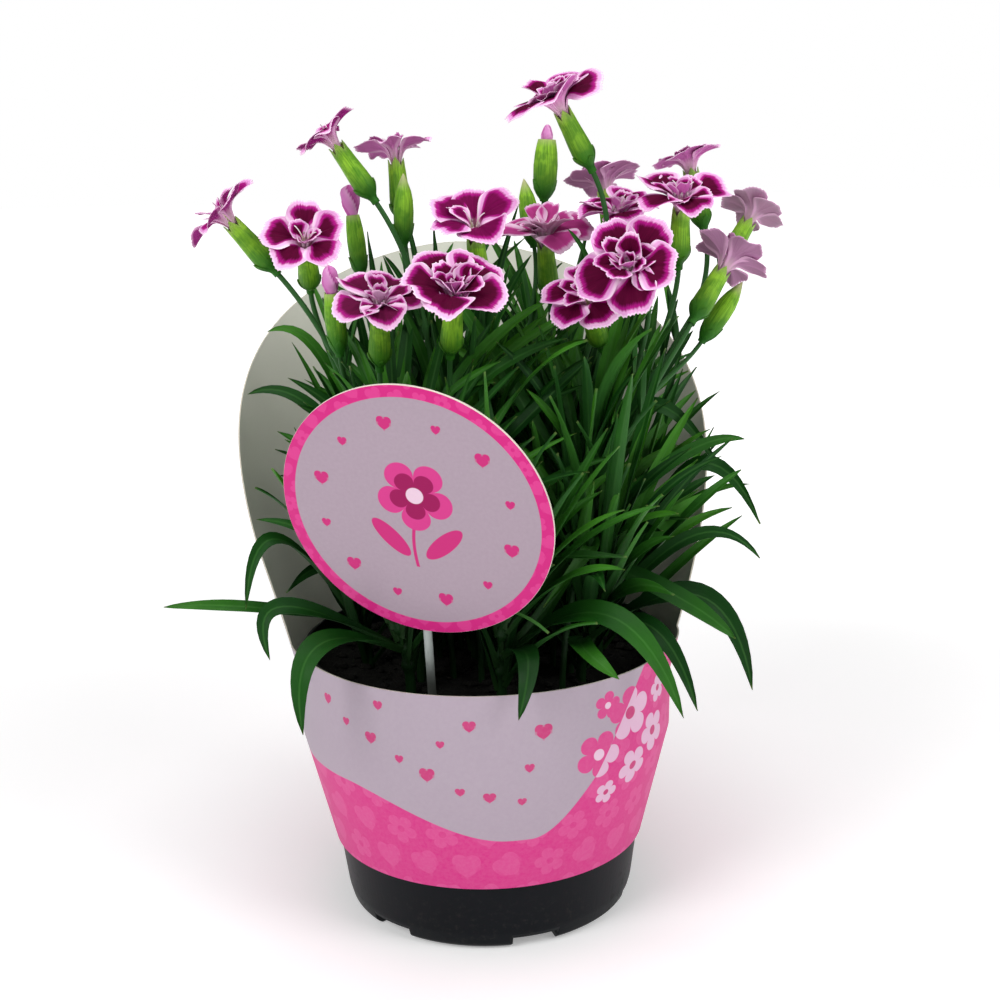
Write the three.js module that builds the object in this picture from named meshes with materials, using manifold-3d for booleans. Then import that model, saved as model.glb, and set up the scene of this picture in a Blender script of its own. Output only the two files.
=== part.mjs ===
// A garden pink (dianthus) in flower, in a black nursery pot with a printed board sleeve and a round
// card on a stick. Millimetres, +Z up. The origin is the middle of the pot's underside, -Y is the front.
import * as THREE from "three";
import { mergeVertices } from "three/addons/utils/BufferGeometryUtils.js";
import Module from "manifold-3d";

const wasm = await Module();
wasm.setup();
const { Manifold, Mesh: SolidMesh } = wasm;

// ---------------------------------------------------------------- driving dimensions

const ROUND_SIDES = 28; // flat sides round the pot
const GAP = 0.3; // clearance between pieces that touch
const POT = { height: 88, foot: 44.4, base: 47.8, shoulder: 56.4, rim: 59.6, wall: 1.4, floor: 6 };
const RIM_BAND = 17; // height of the upright band below the pot's top
const UNDERSIDE = { disc: 26, recess: 2.6, ring: 38.5 }; // flat middle, shallow groove, foot ring
const NOTCH = { count: 6, width: 15, depth: 14, height: 4, ring: 43.5, first: -72 }; // in the foot ring
const DRAIN_HOLE = { radius: 2.6, ring: 32.5 };
const SOIL_TOP = 79.5;

const SLEEVE = { bottom: 23.3, front: 89.4, crest: 210, wall: 0.5, radius: 50.9, taper: 0.247, bend: 60 };
const SLEEVE_BACK = { from: 79, flare: 0.265 }; // above this height the back leans out again
const HEADER = { middle: -5, halfAngle: 94, roundness: 1.65, shoulder: 0.6 }; // the raised back

const CARD = { radius: 40.5, thickness: 0.8, x: -17.5, y: -64, z: 145.3, turn: -20, tip: 18, roll: 5.5 };
const STICK = { radius: 1.3, below: 100, above: 30 }; // reach below and above the card's middle

const CALYX = { length: 22, radius: 3.6, rim: 2.95, mouth: 2.1, teeth: 5 };
const BUD_RIM = 19.3; // height of an opening bud's green part, where its petals come out
const STEM_RADIUS = 1.15;
const STEM_JOINTS = [0.38, 0.68]; // where a flower stem carries its leaf pairs
const STEM_STATIONS = [0, ...STEM_JOINTS, 0.86, 1];
const SHOOT_RADIUS = 1.9;
const SHOOT_STATIONS = [0, 0.5, 1];
const FOOT_DEPTH = 8; // how deep each stem stands in the soil
const CURVE_POINTS = 50; // points of a stem that leaves keep clear of
const BLADE_THICKNESS = 0.9;
const LEAF_STEPS = 12; // straight steps of a leaf's midline
const ROOT_ROOM = 12; // how far from its root a leaf may touch others of its own stem
const LEAF_TRIES = 24; // places tried for a leaf before it is left out
const LEAF_ROOM = 0.45; // part of a leaf's width that is kept clear on each side of its midline
// Limits that all but the long leaves keep inside. The right one comes in higher up.
const CLUMP = { left: -70, right: 88, narrower: 150, slope: 0.5, reach: 86 };
const FACING_TWIST = 95; // how far the tip of a sideways leaf turns its face to the front

// Flower heads: the throat of each bloom, how far its axis leans and towards which side (0 is +X,
// 90 is the back), the bloom's width, how far its petals have opened, and where its stem stands.
const HEADS = [
  { name: "01", x: 26, y: -12, z: 256, lean: 31, toward: 209, width: 32, open: 0.57, foot: [10, -3] },
  { name: "02", x: -43, y: 5, z: 247, lean: 34, toward: 174, width: 23, open: 0.4, foot: [-15, 3] },
  { name: "03", x: -25, y: 20, z: 242, lean: 20, toward: 105, width: 26, open: 0.66, foot: [-8, 12] },
  { name: "04", x: -75, y: -8, z: 225, lean: 40, toward: 184, width: 26, open: 0.68, foot: [-24, -9] },
  { name: "05", x: -51, y: -13, z: 217, lean: 46, toward: 274, width: 26, open: 0.52, foot: [-19, -3] },
  { name: "06", x: -39, y: 12, z: 227, lean: 6, toward: 160, bud: "tip", tip: 1.1, foot: [-14, 14] },
  { name: "08", x: 0, y: -14, z: 220, lean: 33, toward: 264, width: 29, open: 0.28, foot: [0, -8] },
  { name: "09", x: -28, y: -31, z: 200, lean: 25, toward: 279, width: 29, open: 0.78, foot: [-10, -17] },
  { name: "10", x: -6, y: -38, z: 202, lean: 35, toward: 279, width: 33, open: 0.38, foot: [-1, -20] },
  { name: "11", x: 22, y: 16, z: 216, lean: 19, toward: 256, width: 33, open: 0.8, foot: [6, 10] },
  { name: "12", x: 24, y: 34, z: 249, lean: 4, toward: 20, bud: "tip", tip: 0.55, foot: [6, 21] },
  { name: "13", x: 43, y: 42, z: 230, lean: 23, toward: 111, width: 27, open: 0.61, foot: [14, 21] },
  { name: "14", x: 46, y: 17, z: 222, lean: 17, toward: 260, width: 26, open: 0.66, foot: [16, 6] },
  { name: "15", x: 45, y: -37, z: 210, lean: 64, toward: 252, width: 31, open: 0.68, foot: [24, -33] },
  { name: "16", x: 33, y: -26, z: 200, lean: 42, toward: 249, width: 26, open: 0.66, foot: [10, -13] },
  { name: "17", x: 63, y: -7, z: 227, lean: 23, toward: 268, width: 30, open: 0.62, foot: [22, -8] },
  { name: "18", x: 70, y: 30, z: 237, lean: 16, toward: 140, width: 24, open: 0.74, foot: [22, 14] },
  { name: "19", x: 90, y: 29, z: 220, lean: 42, toward: 40, width: 21, open: 0.66, foot: [27, 10] },
  { name: "20", x: 77, y: -3, z: 207, lean: 44, toward: 42, width: 27, open: 0.58, foot: [28, -1] },
];

// Buds that branch from a flower stem, part of the way up it.
const BRANCH_BUDS = [
  { stem: "03", from: 0.72, x: -22, y: 8, z: 237, lean: 4, toward: 300, bud: "green" },
  { stem: "04", from: 0.62, x: -43, y: -22, z: 206, lean: 10, toward: 250, bud: "tip", tip: 0.95,
    name: "07" },
  { stem: "12", from: 0.7, x: 16, y: 33, z: 234, lean: 8, toward: 170, bud: "green" },
  { stem: "20", from: 0.68, x: 83, y: -1, z: 202, lean: 34, toward: 355, bud: "green" },
];

// Leafy shoots: short spreading ones round the rim, taller upright ones in the middle.
const OUTER_SHOOTS = { count: 8, ring: 38, height: 30, reach: 9, pairs: 5, leaf: 78, first: 8 };
const INNER_SHOOTS = { height: 74, reach: 8, pairs: 6, leaf: 66 };
const INNER_FEET = [[-3, 1], [-26, 10], [-20, -17.5], [27, -14], [24, 24], [-5, 26]];

// Long leaves placed one by one: the shoot they grow from, the point they pass over half way,
// their tip and their width.
const LONG_LEAVES = [
  { shoot: 5, over: [-48, -57, 105], tip: [-52, -67, 81], width: 8.2 },
  { shoot: 6, over: [13, -58, 100], tip: [10, -69, 85], width: 7.2 },
  { shoot: 6, over: [36, -58, 112], tip: [57, -70, 85], width: 8.6 },
  { shoot: 7, over: [66, -31, 110], tip: [82, -38, 81], width: 8.4 },
  { shoot: 7, over: [64, -20, 118], tip: [86, -24, 119], width: 4.6 },
  { shoot: 0, over: [65, -9, 141], tip: [87, -17, 128], width: 6.4 },
  { shoot: 4, over: [-70, -28, 108], tip: [-98, -30, 109], width: 4.4 },
  { shoot: 4, over: [-62, -25, 129], tip: [-72, -34, 109], width: 5.4 },
  { shoot: 5, over: [-60, -37, 111], tip: [-64, -44, 96], width: 6.0 },
  { shoot: 11, over: [60, -13, 143], tip: [83, -11, 154], width: 4.8 },
  { shoot: 9, over: [-52, 11, 161], tip: [-76, 16, 167], width: 5.0 },
  { shoot: 7, over: [29, -55, 103], tip: [39, -67, 96], width: 7.0 },
  { shoot: 6, over: [33, -38, 128], tip: [18, -54, 114], width: 6.0 },
  { shoot: 11, over: [56, -36, 113], tip: [76, -42, 99], width: 7.0 },
  { shoot: 0, over: [61, -20, 130], tip: [80, -23, 147], width: 5.0 },
  { shoot: 0, over: [49, -6, 162], tip: [77, -6, 142], width: 6.0 },
  { shoot: 3, over: [-47, 18, 170], tip: [-69, 20, 187], width: 4.8 },
  { shoot: 7, over: [50, -45, 105], tip: [62, -62, 84], width: 6.4 },
  { shoot: 11, over: [23, -46, 128], tip: [42, -58, 130], width: 6.0 },
];

// ---------------------------------------------------------------- small tools

const rad = (degrees) => (degrees * Math.PI) / 180;
const mix = (a, b, t) => a + (b - a) * t;
const clamp01 = (t) => Math.min(1, Math.max(0, t));
const smooth = (t) => clamp01(t) ** 2 * (3 - 2 * clamp01(t));
const vec = (x, y, z) => new THREE.Vector3(x, y, z);

// A repeatable draw between 0 and 1 for the k-th property of thing number i.
function chance(i, k) {
  const wave = Math.sin(i * 12.9898 + k * 78.233) * 43758.5453;
  return wave - Math.floor(wave);
}
const spread = (i, k, half) => (2 * chance(i, k) - 1) * half;

// The direction that leans that far from vertical, towards a compass side.
function leaning(lean, toward) {
  const flat = Math.sin(rad(lean));
  return vec(flat * Math.cos(rad(toward)), flat * Math.sin(rad(toward)), Math.cos(rad(lean)));
}

// ---------------------------------------------------------------- solids

function solidFrom(points, triangles) {
  const vertProperties = new Float32Array(points.flatMap((p) => [p.x, p.y, p.z]));
  const triVerts = new Uint32Array(triangles.flat());
  const made = new Manifold(new SolidMesh({ numProp: 3, vertProperties, triVerts }));
  if (made.volume() > 0) return made;
  const turned = triangles.map(([a, b, c]) => [a, c, b]).flat();
  return new Manifold(new SolidMesh({ numProp: 3, vertProperties, triVerts: new Uint32Array(turned) }));
}

function solidOf(geometry) {
  const plain = geometry.clone();
  plain.deleteAttribute("normal");
  plain.deleteAttribute("uv");
  const merged = mergeVertices(plain, 1e-4);
  const at = merged.getAttribute("position");
  const points = Array.from({ length: at.count }, (_, i) => vec().fromBufferAttribute(at, i));
  const index = Array.from(merged.index.array);
  const triangles = [];
  for (let i = 0; i < index.length; i += 3) {
    const [a, b, c] = index.slice(i, i + 3);
    if (a !== b && b !== c && c !== a) triangles.push([a, b, c]);
  }
  return solidFrom(points, triangles);
}

// A solid of revolution about Z from [radius, height] points that start and end on the axis.
function turned(profile, segments) {
  const points = profile.map(([r, z]) => new THREE.Vector2(r, z));
  return solidOf(new THREE.LatheGeometry(points, segments).rotateX(Math.PI / 2));
}

// A loft through rings of points, closed by a point at each end. A ring has as many points as the
// one before it, or twice as many.
function loft(rings, start, end) {
  const points = [start, ...rings.flat(), end];
  const triangles = [];
  let first = 1;
  rings[0].forEach((_, j, { length: n }) => triangles.push([0, 1 + ((j + 1) % n), 1 + j]));
  rings.slice(1).forEach((ring, i) => {
    const n = rings[i].length;
    const after = first + n;
    for (let j = 0; j < n; j++) {
      const [a, b] = [first + j, first + ((j + 1) % n)];
      if (ring.length === n) {
        const [c, d] = [after + j, after + ((j + 1) % n)];
        triangles.push([a, b, d], [a, d, c]);
      } else {
        const [c, d, e] = [after + 2 * j, after + 2 * j + 1, after + ((2 * j + 2) % (2 * n))];
        triangles.push([a, d, c], [a, b, d], [b, e, d]);
      }
    }
    first = after;
  });
  const last = points.length - 1;
  rings.at(-1).forEach((_, j, { length: n }) => {
    triangles.push([last, first + j, first + ((j + 1) % n)]);
  });
  return solidFrom(points, triangles);
}

// A thin lens: a closed outline with one ridge point above it and one below.
function lens(outline, above, below) {
  const n = outline.length;
  const triangles = [];
  for (let i = 0; i < n; i++) {
    const next = (i + 1) % n;
    triangles.push([i, next, n], [next, i, n + 1]);
  }
  return solidFrom([...outline, above, below], triangles);
}

function meshFrom(name, solid, material) {
  const { numProp, numVert, vertProperties, triVerts } = solid.getMesh();
  const position = new Float32Array(numVert * 3);
  for (let i = 0; i < numVert; i++) {
    position.set(vertProperties.subarray(i * numProp, i * numProp + 3), i * 3);
  }
  const geometry = new THREE.BufferGeometry();
  geometry.setAttribute("position", new THREE.BufferAttribute(position, 3));
  geometry.setIndex(new THREE.BufferAttribute(new Uint32Array(triVerts), 1));
  geometry.computeVertexNormals();
  const mesh = new THREE.Mesh(geometry, material);
  mesh.name = name;
  return mesh;
}

// ---------------------------------------------------------------- materials

const matt = (color, roughness) => new THREE.MeshStandardMaterial({ color, roughness, metalness: 0 });
const MATERIALS = {
  pot: matt(0x1d2124, 0.45),
  soil: matt(0x1f1712, 1),
  sleeve: matt(0xdcc6da, 0.6),
  card: matt(0xe2d3e0, 0.55),
  stick: matt(0xe8e8e8, 0.35),
  leaf: matt(0x2f6b2c, 0.5),
  stem: matt(0x4f8f2d, 0.5),
  petal: matt(0x9c1f72, 0.6),
};

// ---------------------------------------------------------------- pot and soil

function pot() {
  const { height, foot, base, shoulder, rim, wall, floor } = POT;
  const band = height - RIM_BAND;
  const { disc, recess, ring: footRing } = UNDERSIDE;
  const profile = [
    [0, 0], [disc, 0], [disc + 2, recess], [footRing - 2, recess], [footRing, 0], [foot, 0],
    [base - 1.2, 1.6], [base, floor], [shoulder, band - 2], [rim - 0.2, band],
    [rim, height - 0.8], [rim - 0.8, height], [rim - wall - 0.2, height],
    [rim - wall - 0.2, band + 1.4], [shoulder - wall, band - 0.6],
    [base - wall, floor], [0, floor],
  ];
  const cuts = [];
  for (let i = 0; i < NOTCH.count; i++) {
    const heading = rad(NOTCH.first + (360 / NOTCH.count) * i);
    const notch = new THREE.BoxGeometry(NOTCH.depth, NOTCH.width, 2 * NOTCH.height);
    cuts.push(solidOf(notch.translate(NOTCH.ring, 0, 0).rotateZ(heading)));
    const hole = new THREE.CylinderGeometry(DRAIN_HOLE.radius, DRAIN_HOLE.radius, 20, 6);
    cuts.push(solidOf(hole.rotateX(Math.PI / 2).translate(DRAIN_HOLE.ring, 0, 0).rotateZ(heading)));
  }
  return turned(profile, ROUND_SIDES).subtract(Manifold.union(cuts));
}

// Radius of the pot's inside wall, less the gap, at a height.
function insideRadius(z) {
  const { base, shoulder, wall, floor } = POT;
  const band = POT.height - RIM_BAND;
  return mix(base, shoulder, (z - floor) / (band - 0.6 - floor)) - wall - GAP;
}

function soil(holes) {
  const { rim, wall, floor } = POT;
  const band = POT.height - RIM_BAND;
  const profile = [
    [0, floor + GAP], [insideRadius(floor + GAP), floor + GAP],
    [insideRadius(band - 1), band - 0.4], [rim - wall - 0.2 - GAP, band + 1.9],
    [rim - wall - 0.2 - GAP, SOIL_TOP], [0, SOIL_TOP],
  ];
  return turned(profile, ROUND_SIDES).subtract(Manifold.union(holes));
}

// ---------------------------------------------------------------- sleeve, card and stick

// Height of the sleeve's top edge, at an angle from the back, clockwise seen from above.
function sleeveEdge(fromBack) {
  const u = Math.min(1, Math.abs(fromBack - HEADER.middle) / HEADER.halfAngle);
  return SLEEVE.front + (SLEEVE.crest - SLEEVE.front) * (1 - u ** HEADER.roundness) ** HEADER.shoulder;
}

// Inside radius of the sleeve: a cone, upright round the pot's rim, whose raised back leans out.
function sleeveRadius(z, fromBack) {
  const { bottom, radius, taper, bend } = SLEEVE;
  const flare = SLEEVE_BACK.flare * (1 - smooth((Math.abs(fromBack) - 90) / 35));
  const upright = 0.02 * Math.max(0, z - bend);
  return radius + taper * (Math.min(z, bend) - bottom) + upright + flare * Math.max(0, z - SLEEVE_BACK.from);
}

function sleeve() {
  const columns = [];
  const backColumns = 9;
  const frontColumns = 11;
  for (let k = -backColumns; k < backColumns; k++) {
    columns.push(HEADER.middle + HEADER.halfAngle * Math.sin(((Math.PI / 2) * k) / backColumns));
  }
  for (let k = 0; k < frontColumns; k++) {
    columns.push(HEADER.middle + mix(HEADER.halfAngle, 360 - HEADER.halfAngle, k / frontColumns));
  }
  const points = columns.flatMap((column) => {
    const fromBack = column > 180 ? column - 360 : column;
    const heights = [SLEEVE.bottom, SLEEVE.bend, SLEEVE_BACK.from, sleeveEdge(fromBack)];
    const wallPoint = (z, out) => {
      const r = sleeveRadius(z, fromBack) + out;
      return vec(r * Math.sin(rad(column)), r * Math.cos(rad(column)), z);
    };
    const outside = heights.map((z) => wallPoint(z, SLEEVE.wall));
    const inside = heights.toReversed().map((z) => wallPoint(z, 0));
    return [...outside, ...inside];
  });
  const n = points.length / columns.length;
  const triangles = [];
  for (let i = 0; i < columns.length; i++) {
    const next = (i + 1) % columns.length;
    for (let j = 0; j < n; j++) {
      const [a, b] = [i * n + j, i * n + ((j + 1) % n)];
      const [c, d] = [next * n + j, next * n + ((j + 1) % n)];
      triangles.push([a, b, d], [a, d, c]);
    }
  }
  return solidFrom(points, triangles);
}

// Moves a shape made in the card's own plane (X to its right, Z up, -Y out of its face) to its place.
function placeAsCard(geometry) {
  return geometry
    .rotateY(rad(CARD.roll))
    .rotateX(rad(CARD.tip))
    .rotateZ(rad(CARD.turn))
    .translate(CARD.x, CARD.y, CARD.z);
}

function card() {
  return solidOf(placeAsCard(new THREE.CylinderGeometry(CARD.radius, CARD.radius, CARD.thickness, 40)));
}

function stick(extra = 0) {
  const r = STICK.radius + extra;
  const rod = new THREE.CylinderGeometry(r, r, STICK.above + STICK.below + extra, 8);
  const behind = CARD.thickness / 2 + GAP + STICK.radius;
  rod.rotateX(Math.PI / 2).translate(0, behind, (STICK.above - STICK.below - extra) / 2);
  return solidOf(placeAsCard(rod));
}

// ---------------------------------------------------------------- keeping the plant's parts clear

// Points that later leaves keep away from, each with its own radius and the node it belongs to.
const taken = [];

function take(points, radius, owner) {
  for (const p of points) taken.push({ x: p.x, y: p.y, z: p.z, radius, owner });
}

function takeCard() {
  const points = [];
  const step = 5;
  for (let x = -40; x <= 40; x += step) {
    for (let z = -40; z <= 40; z += step) {
      if (Math.hypot(x, z) <= 42) points.push(x, 0, z);
    }
  }
  const grid = new THREE.BufferGeometry();
  grid.setAttribute("position", new THREE.Float32BufferAttribute(points, 3));
  const at = placeAsCard(grid).getAttribute("position");
  take(Array.from({ length: at.count }, (_, i) => vec().fromBufferAttribute(at, i)), 3, "card");
  const rod = [];
  for (let z = -100; z <= 30; z += 3) rod.push(0, 2, z);
  grid.setAttribute("position", new THREE.Float32BufferAttribute(rod, 3));
  const down = placeAsCard(grid).getAttribute("position");
  take(Array.from({ length: down.count }, (_, i) => vec().fromBufferAttribute(down, i)), 1.6, "stick");
}

// Whether a midline stays clear of the soil, the sleeve and everything taken so far. Close to its
// own root it may meet what belongs to its own node.
function isClear(line, owner, room) {
  for (const p of line.slice(1)) {
    const r = Math.hypot(p.x, p.y);
    const fromBack = (Math.atan2(p.x, p.y) * 180) / Math.PI;
    if (r < 62 && p.z < SOIL_TOP + 3) return false;
    if (p.z < 4) return false;
    const wall = sleeveRadius(p.z, fromBack);
    if (p.z < sleeveEdge(fromBack) + room + 3 && Math.abs(r - wall) < room + 2) return false;
    if (p.z < sleeveEdge(fromBack) && r > wall && Math.abs(fromBack) < HEADER.halfAngle) return false;
  }
  const beyond = line.filter((p) => p.distanceTo(line[0]) > ROOT_ROOM);
  return taken.every((t) => {
    const reach = (t.radius + room) ** 2;
    const tested = t.owner === owner ? beyond : line;
    return tested.every((p) => (p.x - t.x) ** 2 + (p.y - t.y) ** 2 + (p.z - t.z) ** 2 > reach);
  });
}

// Whether a line stays inside the clump, whose right side is narrower higher up.
function isInClump(line) {
  const { left, right, narrower, slope, reach } = CLUMP;
  return line.every(({ x, y, z }) => {
    return x > left && x < right - slope * Math.max(0, z - narrower) && Math.hypot(x, y) < reach;
  });
}

// ---------------------------------------------------------------- leaves

// The midline of a leaf: it runs through the points given for it, or it sets off at its climb and
// heading and droops more and more.
function leafLine(leaf, steps) {
  const out = vec(Math.cos(rad(leaf.heading)), Math.sin(rad(leaf.heading)), 0);
  const root = leaf.root.clone().addScaledVector(out, leaf.stand);
  if (leaf.tip) {
    const tip = vec(...leaf.tip);
    const bend = vec(...leaf.over).multiplyScalar(2).addScaledVector(root, -0.5).addScaledVector(tip, -0.5);
    return new THREE.QuadraticBezierCurve3(root, bend, tip).getPoints(steps);
  }
  const line = [root];
  for (let i = 0; i < steps; i++) {
    const s = (i + 0.5) / steps;
    const climb = rad(leaf.climb - leaf.droop * s ** 1.5);
    const heading = rad(leaf.heading + leaf.swing * s);
    const flat = Math.cos(climb);
    const step = vec(flat * Math.cos(heading), flat * Math.sin(heading), Math.sin(climb));
    line.push(line[i].clone().addScaledVector(step, leaf.length / steps));
  }
  return line;
}

const facingTwist = (heading) => FACING_TWIST * Math.cos(rad(heading));

const leafWidth = (leaf, s) => leaf.width * (0.3 + 0.7 * Math.min(1, s / 0.25)) * Math.sqrt(1 - s ** 3);

// A blade: a flat top between two edges, with a keel below, running to a point at both ends. Its
// rings start at the edge that makes the faces of a twisted blade bulge outwards.
function blade(leaf, steps) {
  const line = leafLine(leaf, LEAF_STEPS);
  const at = (s) => {
    const i = Math.min(LEAF_STEPS - 1, Math.floor(s * LEAF_STEPS));
    return line[i].clone().lerp(line[i + 1], s * LEAF_STEPS - i);
  };
  const shares = [...Array(steps).keys()].map((i) => mix(0.06, 1, (i / steps) ** 1.1));
  const rings = shares.map((s) => {
    const p = at(s);
    const along = at(Math.min(1, s + 0.06)).sub(at(s - 0.06)).normalize();
    const heading = rad(leaf.heading + leaf.swing * s);
    const side = vec(-Math.sin(heading), Math.cos(heading), 0);
    side.applyAxisAngle(along, rad(leaf.twist * s));
    const up = side.clone().cross(along).multiplyScalar(-1);
    const half = (leafWidth(leaf, s) / 2) * (leaf.twist > 0 ? -1 : 1);
    const keel = BLADE_THICKNESS * (1 - 0.3 * s);
    return [
      p.clone().addScaledVector(side, half),
      p.clone().addScaledVector(side, -half),
      p.clone().addScaledVector(up, -keel),
    ];
  });
  return loft(rings, line[0], line[LEAF_STEPS]);
}

// Tries a leaf as it is, then swung and shortened a little more each time, or raised if it is one
// of the long leaves.
function fitLeaf(leaf, owner) {
  for (let k = 0; k < LEAF_TRIES; k++) {
    const swing = (k % 2 ? 1 : -1) * Math.ceil(k / 2) * 8;
    const tried = { ...leaf, heading: leaf.heading + swing, length: leaf.length * 0.98 ** k };
    tried.climb = Math.min(84, leaf.climb + (k % 3) * 6);
    if (leaf.over) tried.over = [leaf.over[0], leaf.over[1], leaf.over[2] + k];
    const line = leafLine(tried, Math.ceil(tried.length / 4));
    if ((leaf.tip || isInClump(line)) && isClear(line, owner, LEAF_ROOM * leaf.width)) {
      take(line, LEAF_ROOM * leaf.width, owner);
      return tried;
    }
  }
  return null;
}

// ---------------------------------------------------------------- stems, calyces and buds

const headAxis = (head) => leaning(head.lean, head.toward);
const throat = (head) => vec(head.x, head.y, head.z);
const calyxBase = (head) => throat(head).addScaledVector(headAxis(head), -CALYX.length);

const onSoil = (x, y) => vec(x, y, SOIL_TOP - 0.5);

function stemCurve(head) {
  const foot = onSoil(...head.foot);
  const end = calyxBase(head);
  const rise = end.z - foot.z;
  const first = foot.clone().add(vec(0, 0, rise * 0.42));
  const second = end.clone().addScaledVector(headAxis(head), -rise * 0.28);
  return new THREE.CubicBezierCurve3(foot, first, second, end);
}

function branchCurve(bud, parent) {
  const start = parent.getPoint(bud.from);
  const end = calyxBase(bud);
  const reach = start.distanceTo(end);
  const first = start.clone().addScaledVector(parent.getTangent(bud.from), reach * 0.35);
  const second = end.clone().addScaledVector(headAxis(bud), -reach * 0.35);
  return new THREE.CubicBezierCurve3(start, first, second, end);
}

// Two directions square to an axis.
function across(axis) {
  const side = Math.abs(axis.z) > 0.95 ? vec(1, 0, 0) : vec(0, 0, 1);
  const u = side.cross(axis).normalize();
  return [u, axis.clone().cross(u)];
}

const level = () => 0;

// A ring of points round an axis. It starts on the side given by right.
function ring(centre, axis, radius, sides, lift = level, right = across(axis)[0]) {
  const u = right.clone().addScaledVector(axis, -right.dot(axis)).normalize();
  const v = axis.clone().cross(u);
  return Array.from({ length: sides }, (_, i) => {
    const a = (2 * Math.PI * i) / sides;
    const point = centre.clone().addScaledVector(u, radius * Math.cos(a));
    return point.addScaledVector(v, radius * Math.sin(a)).addScaledVector(axis, lift(i));
  });
}

// The side of a curve that all its rings start from, so that its faces run straight along it.
const rightOf = (curve) => across(curve.getTangent(0))[0];

// The rings of a round stem along a curve, with a straight foot below if it stands in the soil.
function stemRings(curve, radius, stations, footDepth = 0) {
  const rings = stations.map((t) => {
    return ring(curve.getPoint(t), curve.getTangent(t), radius * (1 - 0.2 * t), 5, level, rightOf(curve));
  });
  if (footDepth) rings.unshift(rings[0].map((point) => point.clone().add(vec(0, 0, -footDepth))));
  return rings;
}

// A point on a stem's axis, which runs straight from one station to the next.
function pointOn(curve, stations, t) {
  const i = Math.max(1, stations.findIndex((station) => station >= t));
  const [before, after] = [stations[i - 1], stations[i]];
  return curve.getPoint(before).lerp(curve.getPoint(after), (t - before) / (after - before));
}

const footPoint = (curve, footDepth) => curve.getPoint(0).add(vec(0, 0, -footDepth));

// What a stem carries at its end, as rings round its axis and a last point: a calyx with pointed
// teeth and a socket for the petals, an opening bud with a smaller socket, or a closed green bud.
function headRings(head, right) {
  const axis = headAxis(head);
  const at = (h) => calyxBase(head).addScaledVector(axis, h);
  const round = (h, radius, lift = level) => ring(at(h), axis, radius, 2 * CALYX.teeth, lift, right);
  const { radius, rim, mouth, length } = CALYX;
  const tooth = (i) => (i % 2 ? 0 : 3);
  if (head.bud === "green") return [[round(2.7, 2.5), round(10, 3.2), round(16.5, 2.4)], at(length)];
  if (head.bud === "tip") {
    return [[round(3.3, 3.1), round(11, 3.8), round(BUD_RIM - 0.6, 2.9), round(BUD_RIM - 1.2, 2)], at(11)];
  }
  const outside = [round(5, radius), round(length - 4, rim, tooth)];
  return [[...outside, round(length - 4.6, mouth)], at(length - 12)];
}

function flowerStem(curve, head) {
  const [rings, last] = headRings(head, rightOf(curve));
  const stem = stemRings(curve, STEM_RADIUS, STEM_STATIONS, FOOT_DEPTH);
  return loft([...stem, ...rings], footPoint(curve, FOOT_DEPTH), last);
}

function branchStem(curve, head) {
  const [rings, last] = headRings(head, rightOf(curve));
  return loft([...stemRings(curve, STEM_RADIUS * 0.85, [0, 0.5, 1]), ...rings], curve.getPoint(0), last);
}

// The furled petals that show at the top of an opening bud.
function budTip(head) {
  const axis = headAxis(head);
  const base = calyxBase(head);
  const at = (h) => base.clone().addScaledVector(axis, h);
  const out = (h) => at(BUD_RIM + h * head.tip);
  const rings = [
    ring(at(BUD_RIM - 3.3), axis, 1.15, 6),
    ring(at(BUD_RIM), axis, 1.85, 6),
    ring(out(3.2), axis, 1 + 1.8 * head.tip, 6),
    ring(out(6.7), axis, 1.8 * head.tip, 6),
  ];
  return loft(rings, at(BUD_RIM - 7), out(8.7));
}

// ---------------------------------------------------------------- petals

// The rows of petals, from the outermost in: how many, how long and wide as parts of the bloom's
// half width, how far they rise from the bloom's plane when fully open and when half open.
const PETAL_ROWS = [
  { count: 5, long: 1, wide: 1, flat: 2, cupped: 62, curl: 14 },
  { count: 2, long: 0.66, wide: 0.46, flat: 28, cupped: 72, curl: 10 },
];
const CUPPED_CURL = 24; // how much further the petals of a cupped bloom turn out on their way

// A petal's outline, from its claw round its broad tip: [share of the length, share of the width].
const PETAL_OUTLINE = [
  [0, 0], [0.28, 0.2], [0.55, 0.49], [0.86, 0.4], [1, 0],
  [0.86, -0.4], [0.55, -0.49], [0.28, -0.2],
];

function petalsOf(head) {
  const axis = headAxis(head);
  const middle = throat(head);
  const [u, v] = across(axis);
  const seed = Number(head.name);
  const half = head.width / 2;
  const petals = [];
  PETAL_ROWS.forEach((row, rowIndex) => {
    for (let i = 0; i < row.count; i++) {
      const id = seed * 100 + rowIndex * 10 + i;
      const angle = ((i + rowIndex * 0.45) / row.count) * 360 + seed * 47 + spread(id, 1, 9);
      const rise = mix(row.cupped, row.flat, head.open) + spread(id, 2, 7);
      const length = half * row.long * (1 + spread(id, 3, 0.06));
      petals.push({
        out: u.clone().multiplyScalar(Math.cos(rad(angle))).addScaledVector(v, Math.sin(rad(angle))),
        side: v.clone().multiplyScalar(Math.cos(rad(angle))).addScaledVector(u, -Math.sin(rad(angle))),
        axis, middle, rise, length,
        width: half * row.wide * (1 + spread(id, 4, 0.08)),
        curl: row.curl + CUPPED_CURL * (1 - head.open) + spread(id, 5, 6),
        roll: 9 + spread(id, 6, 5),
      });
    }
  });
  return petals;
}

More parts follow.
